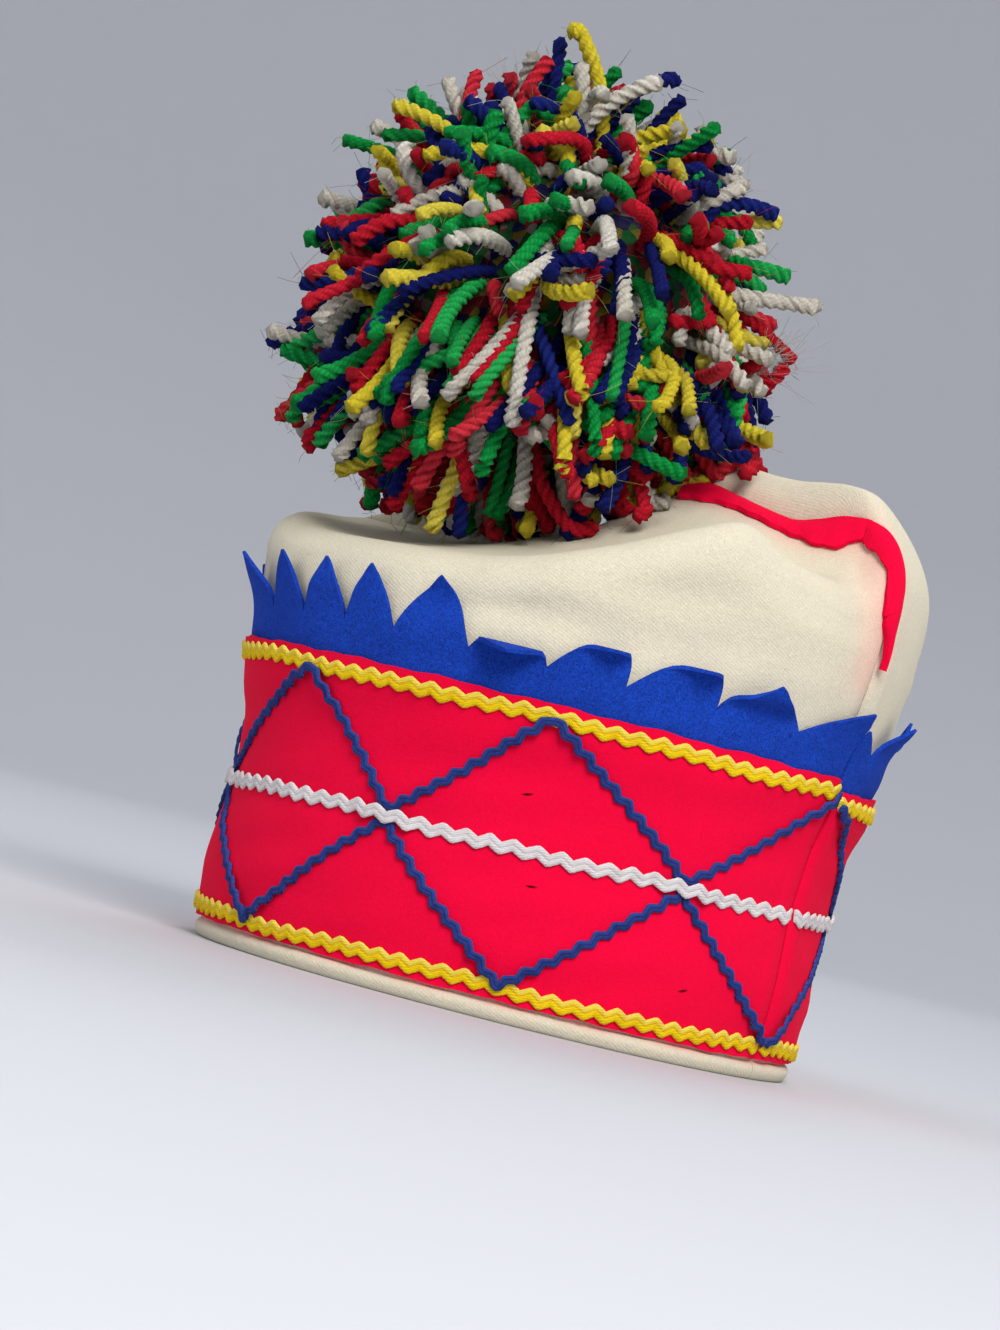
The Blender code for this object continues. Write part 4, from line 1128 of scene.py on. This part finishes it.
def makePompom():
    paths = strandPaths()
    count = len(paths)
    order = scatter.permutation(count)
    tones = scatter.uniform(0, 1, count)
    girths = yarnBall["girth"] * scatter.uniform(0.88, 1.12, count)
    begin, part, made = 0, 0.0, []
    for colour, (material, share) in yarns.items():
        part += share
        end = round(part * count)
        owners = np.sort(order[begin:end])
        begin = end
        hairs = hairPaths(paths, owners, int(yarnBall["hairs"] * len(owners) / count))
        if colour == "white":
            hairs = np.concatenate([hairs, wispPaths()])
        hairs = keepInside(hairs, yarnBall["radius"] * 1.10)
        name = colour + "YarnEnds"
        made.append(makeYarnEnds(name, material, paths[owners], girths[owners], tones[owners], hairs))
    return made


pompomPieces = makePompom()
print("pompom tied:", sum(len(p.data.polygons) for p in pompomPieces), "faces")


# packed yarn behind the visible ends, its colours darkened as painted shade deep inside the pompom: where each
# colour starts
shadedHeartColours = (
    (0.0, (0.09, 0.002, 0.005)),
    (0.24, (0.002, 0.003, 0.03)),
    (0.50, (0.002, 0.05, 0.01)),
    (0.72, (0.10, 0.07, 0.005)),
    (0.88, (0.09, 0.08, 0.07)),
)


def makeShadedYarnHeart():
    bpy.ops.object.select_all(action="DESELECT")
    centre = yarnBall["centre"]
    bpy.ops.mesh.primitive_ico_sphere_add(subdivisions=5, radius=yarnBall["heart"], location=centre)
    heart = bpy.context.object
    heart.name = "shadedYarnHeart"
    bpy.ops.object.transform_apply(location=True, rotation=False, scale=False)
    for vertex in heart.data.vertices:
        away = vertex.co - Vector(centre)
        bumps = math.sin(away.x * 900) * math.sin(away.y * 1100) * math.sin(away.z * 1000)
        vertex.co += away.normalized() * 0.0018 * bumps
    heart.data.shade_smooth()
    # the dark yarn colours of this core are painted shade
    material, tree, shader, coords = startMaterial("packedYarnShade", 1.0, 0.1, (0.5, 0.4, 0.4))
    cells = tree.nodes.new("ShaderNodeTexVoronoi")
    cells.inputs["Scale"].default_value = 330
    tree.links.new(coords.outputs["Object"], cells.inputs["Vector"])
    colours = tree.nodes.new("ShaderNodeValToRGB")
    colours.color_ramp.interpolation = "CONSTANT"
    stops = colours.color_ramp.elements
    while len(stops) < len(shadedHeartColours):
        stops.new(0.5)
    for stop, (place, colour) in zip(stops, shadedHeartColours):
        stop.position = place
        stop.color = (*colour, 1)
    split = tree.nodes.new("ShaderNodeSeparateColor")
    tree.links.new(cells.outputs["Color"], split.inputs[0])
    tree.links.new(split.outputs[0], colours.inputs[0])
    tree.links.new(colours.outputs[0], shader.inputs["Base Color"])
    addBump(tree, shader, cells.outputs["Distance"], 0.002)
    heart.data.materials.append(material)
    dress(heart, "mixed_yarn")


makeShadedYarnHeart()

# floor, backdrop, light and camera
studio = {"radius": 3.2, "bend": 1.2, "height": 3.6, "sides": 96, "aim": (-0.01, 0, 0.14)}


def makeStudio():
    radius, bend, sides = studio["radius"], studio["bend"], studio["sides"]
    profile = [(0.3, 0.0), (1.0, 0.0), (radius - bend, 0.0)]
    for k in range(1, 13):
        angle = math.pi / 2 * k / 12
        profile.append((radius - bend * (1 - math.sin(angle)), bend * (1 - math.cos(angle))))
    profile.append((radius, studio["height"]))
    turns = np.linspace(0, 2 * math.pi, sides, endpoint=False)
    points = [(r * math.cos(a), r * math.sin(a), z) for r, z in profile for a in turns]
    faces = [tuple(range(sides))]
    for k in range(0, (len(profile) - 1) * sides, sides):
        for j in range(sides):
            after = (j + 1) % sides
            faces.append((k + j, k + sides + j, k + sides + after, k + after))
    mesh = bpy.data.meshes.new("paleFloor")
    mesh.from_pydata(points, [], faces)
    mesh.shade_smooth()
    material = bpy.data.materials.new("palePaint")
    material.use_nodes = True
    shader = material.node_tree.nodes["Principled BSDF"]
    shader.inputs["Base Color"].default_value = (0.50, 0.51, 0.54, 1)
    shader.inputs["Roughness"].default_value = 0.8
    mesh.materials.append(material)
    floor = putAway(bpy.data.objects.new("paleFloor", mesh))


def addLamp(name, spot, size, power, colour):
    lamp = bpy.data.lights.new(name, "AREA")
    lamp.shape = "DISK"
    lamp.size = size
    lamp.energy = power
    lamp.color = colour
    holder = putAway(bpy.data.objects.new(name, lamp))
    holder.location = spot
    holder.rotation_euler = (Vector(studio["aim"]) - Vector(spot)).to_track_quat("-Z", "Y").to_euler()


makeStudio()
addLamp("keyLight", (1.45, -1.25, 1.50), 1.2, 53, (1.0, 0.985, 0.96))
addLamp("fillLight", (-1.5, -1.2, 1.0), 1.8, 7, (0.94, 0.97, 1.0))
addLamp("backLight", (-0.6, 1.7, 1.7), 1.2, 14, (0.96, 0.98, 1.0))
world = bpy.context.scene.world or bpy.data.worlds.new("softRoom")
bpy.context.scene.world = world
world.use_nodes = True
sky = world.node_tree.nodes["Background"]
sky.inputs["Color"].default_value = (0.93, 0.95, 1.0, 1)
sky.inputs["Strength"].default_value = 0.85

# the photograph's angle: degrees, metres, and the focal length in pixels of its frame
view = {
    "azimuth": 34.0,
    "elevation": -2.03,
    "roll": 14.09,
    "distance": 1.258,
    "focal": 4127.0,
    "framePixels": 1330,
    "across": -0.0218,
    "height": 0.1014,
}


def makeCamera():
    az, el, roll = (math.radians(view[k]) for k in ("azimuth", "elevation", "roll"))
    backward = Vector((math.sin(az) * math.cos(el), -math.cos(az) * math.cos(el), math.sin(el)))
    right = Vector((math.cos(az), math.sin(az), 0))
    up = backward.cross(right)
    turnedRight = right * math.cos(roll) + up * math.sin(roll)
    turnedUp = backward.cross(turnedRight)
    target = right * view["across"] + Vector((0, 0, view["height"]))
    camera = bpy.data.cameras.new("photoCamera")
    camera.sensor_width = 36
    camera.lens = view["focal"] * camera.sensor_width / view["framePixels"]
    camera.clip_start = 0.01
    holder = putAway(bpy.data.objects.new("photoCamera", camera))
    turn = Matrix((turnedRight, turnedUp, backward)).transposed()
    holder.matrix_world = Matrix.Translation(target + backward * view["distance"]) @ turn.to_4x4()
    bpy.context.scene.camera = holder


makeCamera()
bpy.context.scene.view_settings.view_transform = "Standard"
print("scene lit")
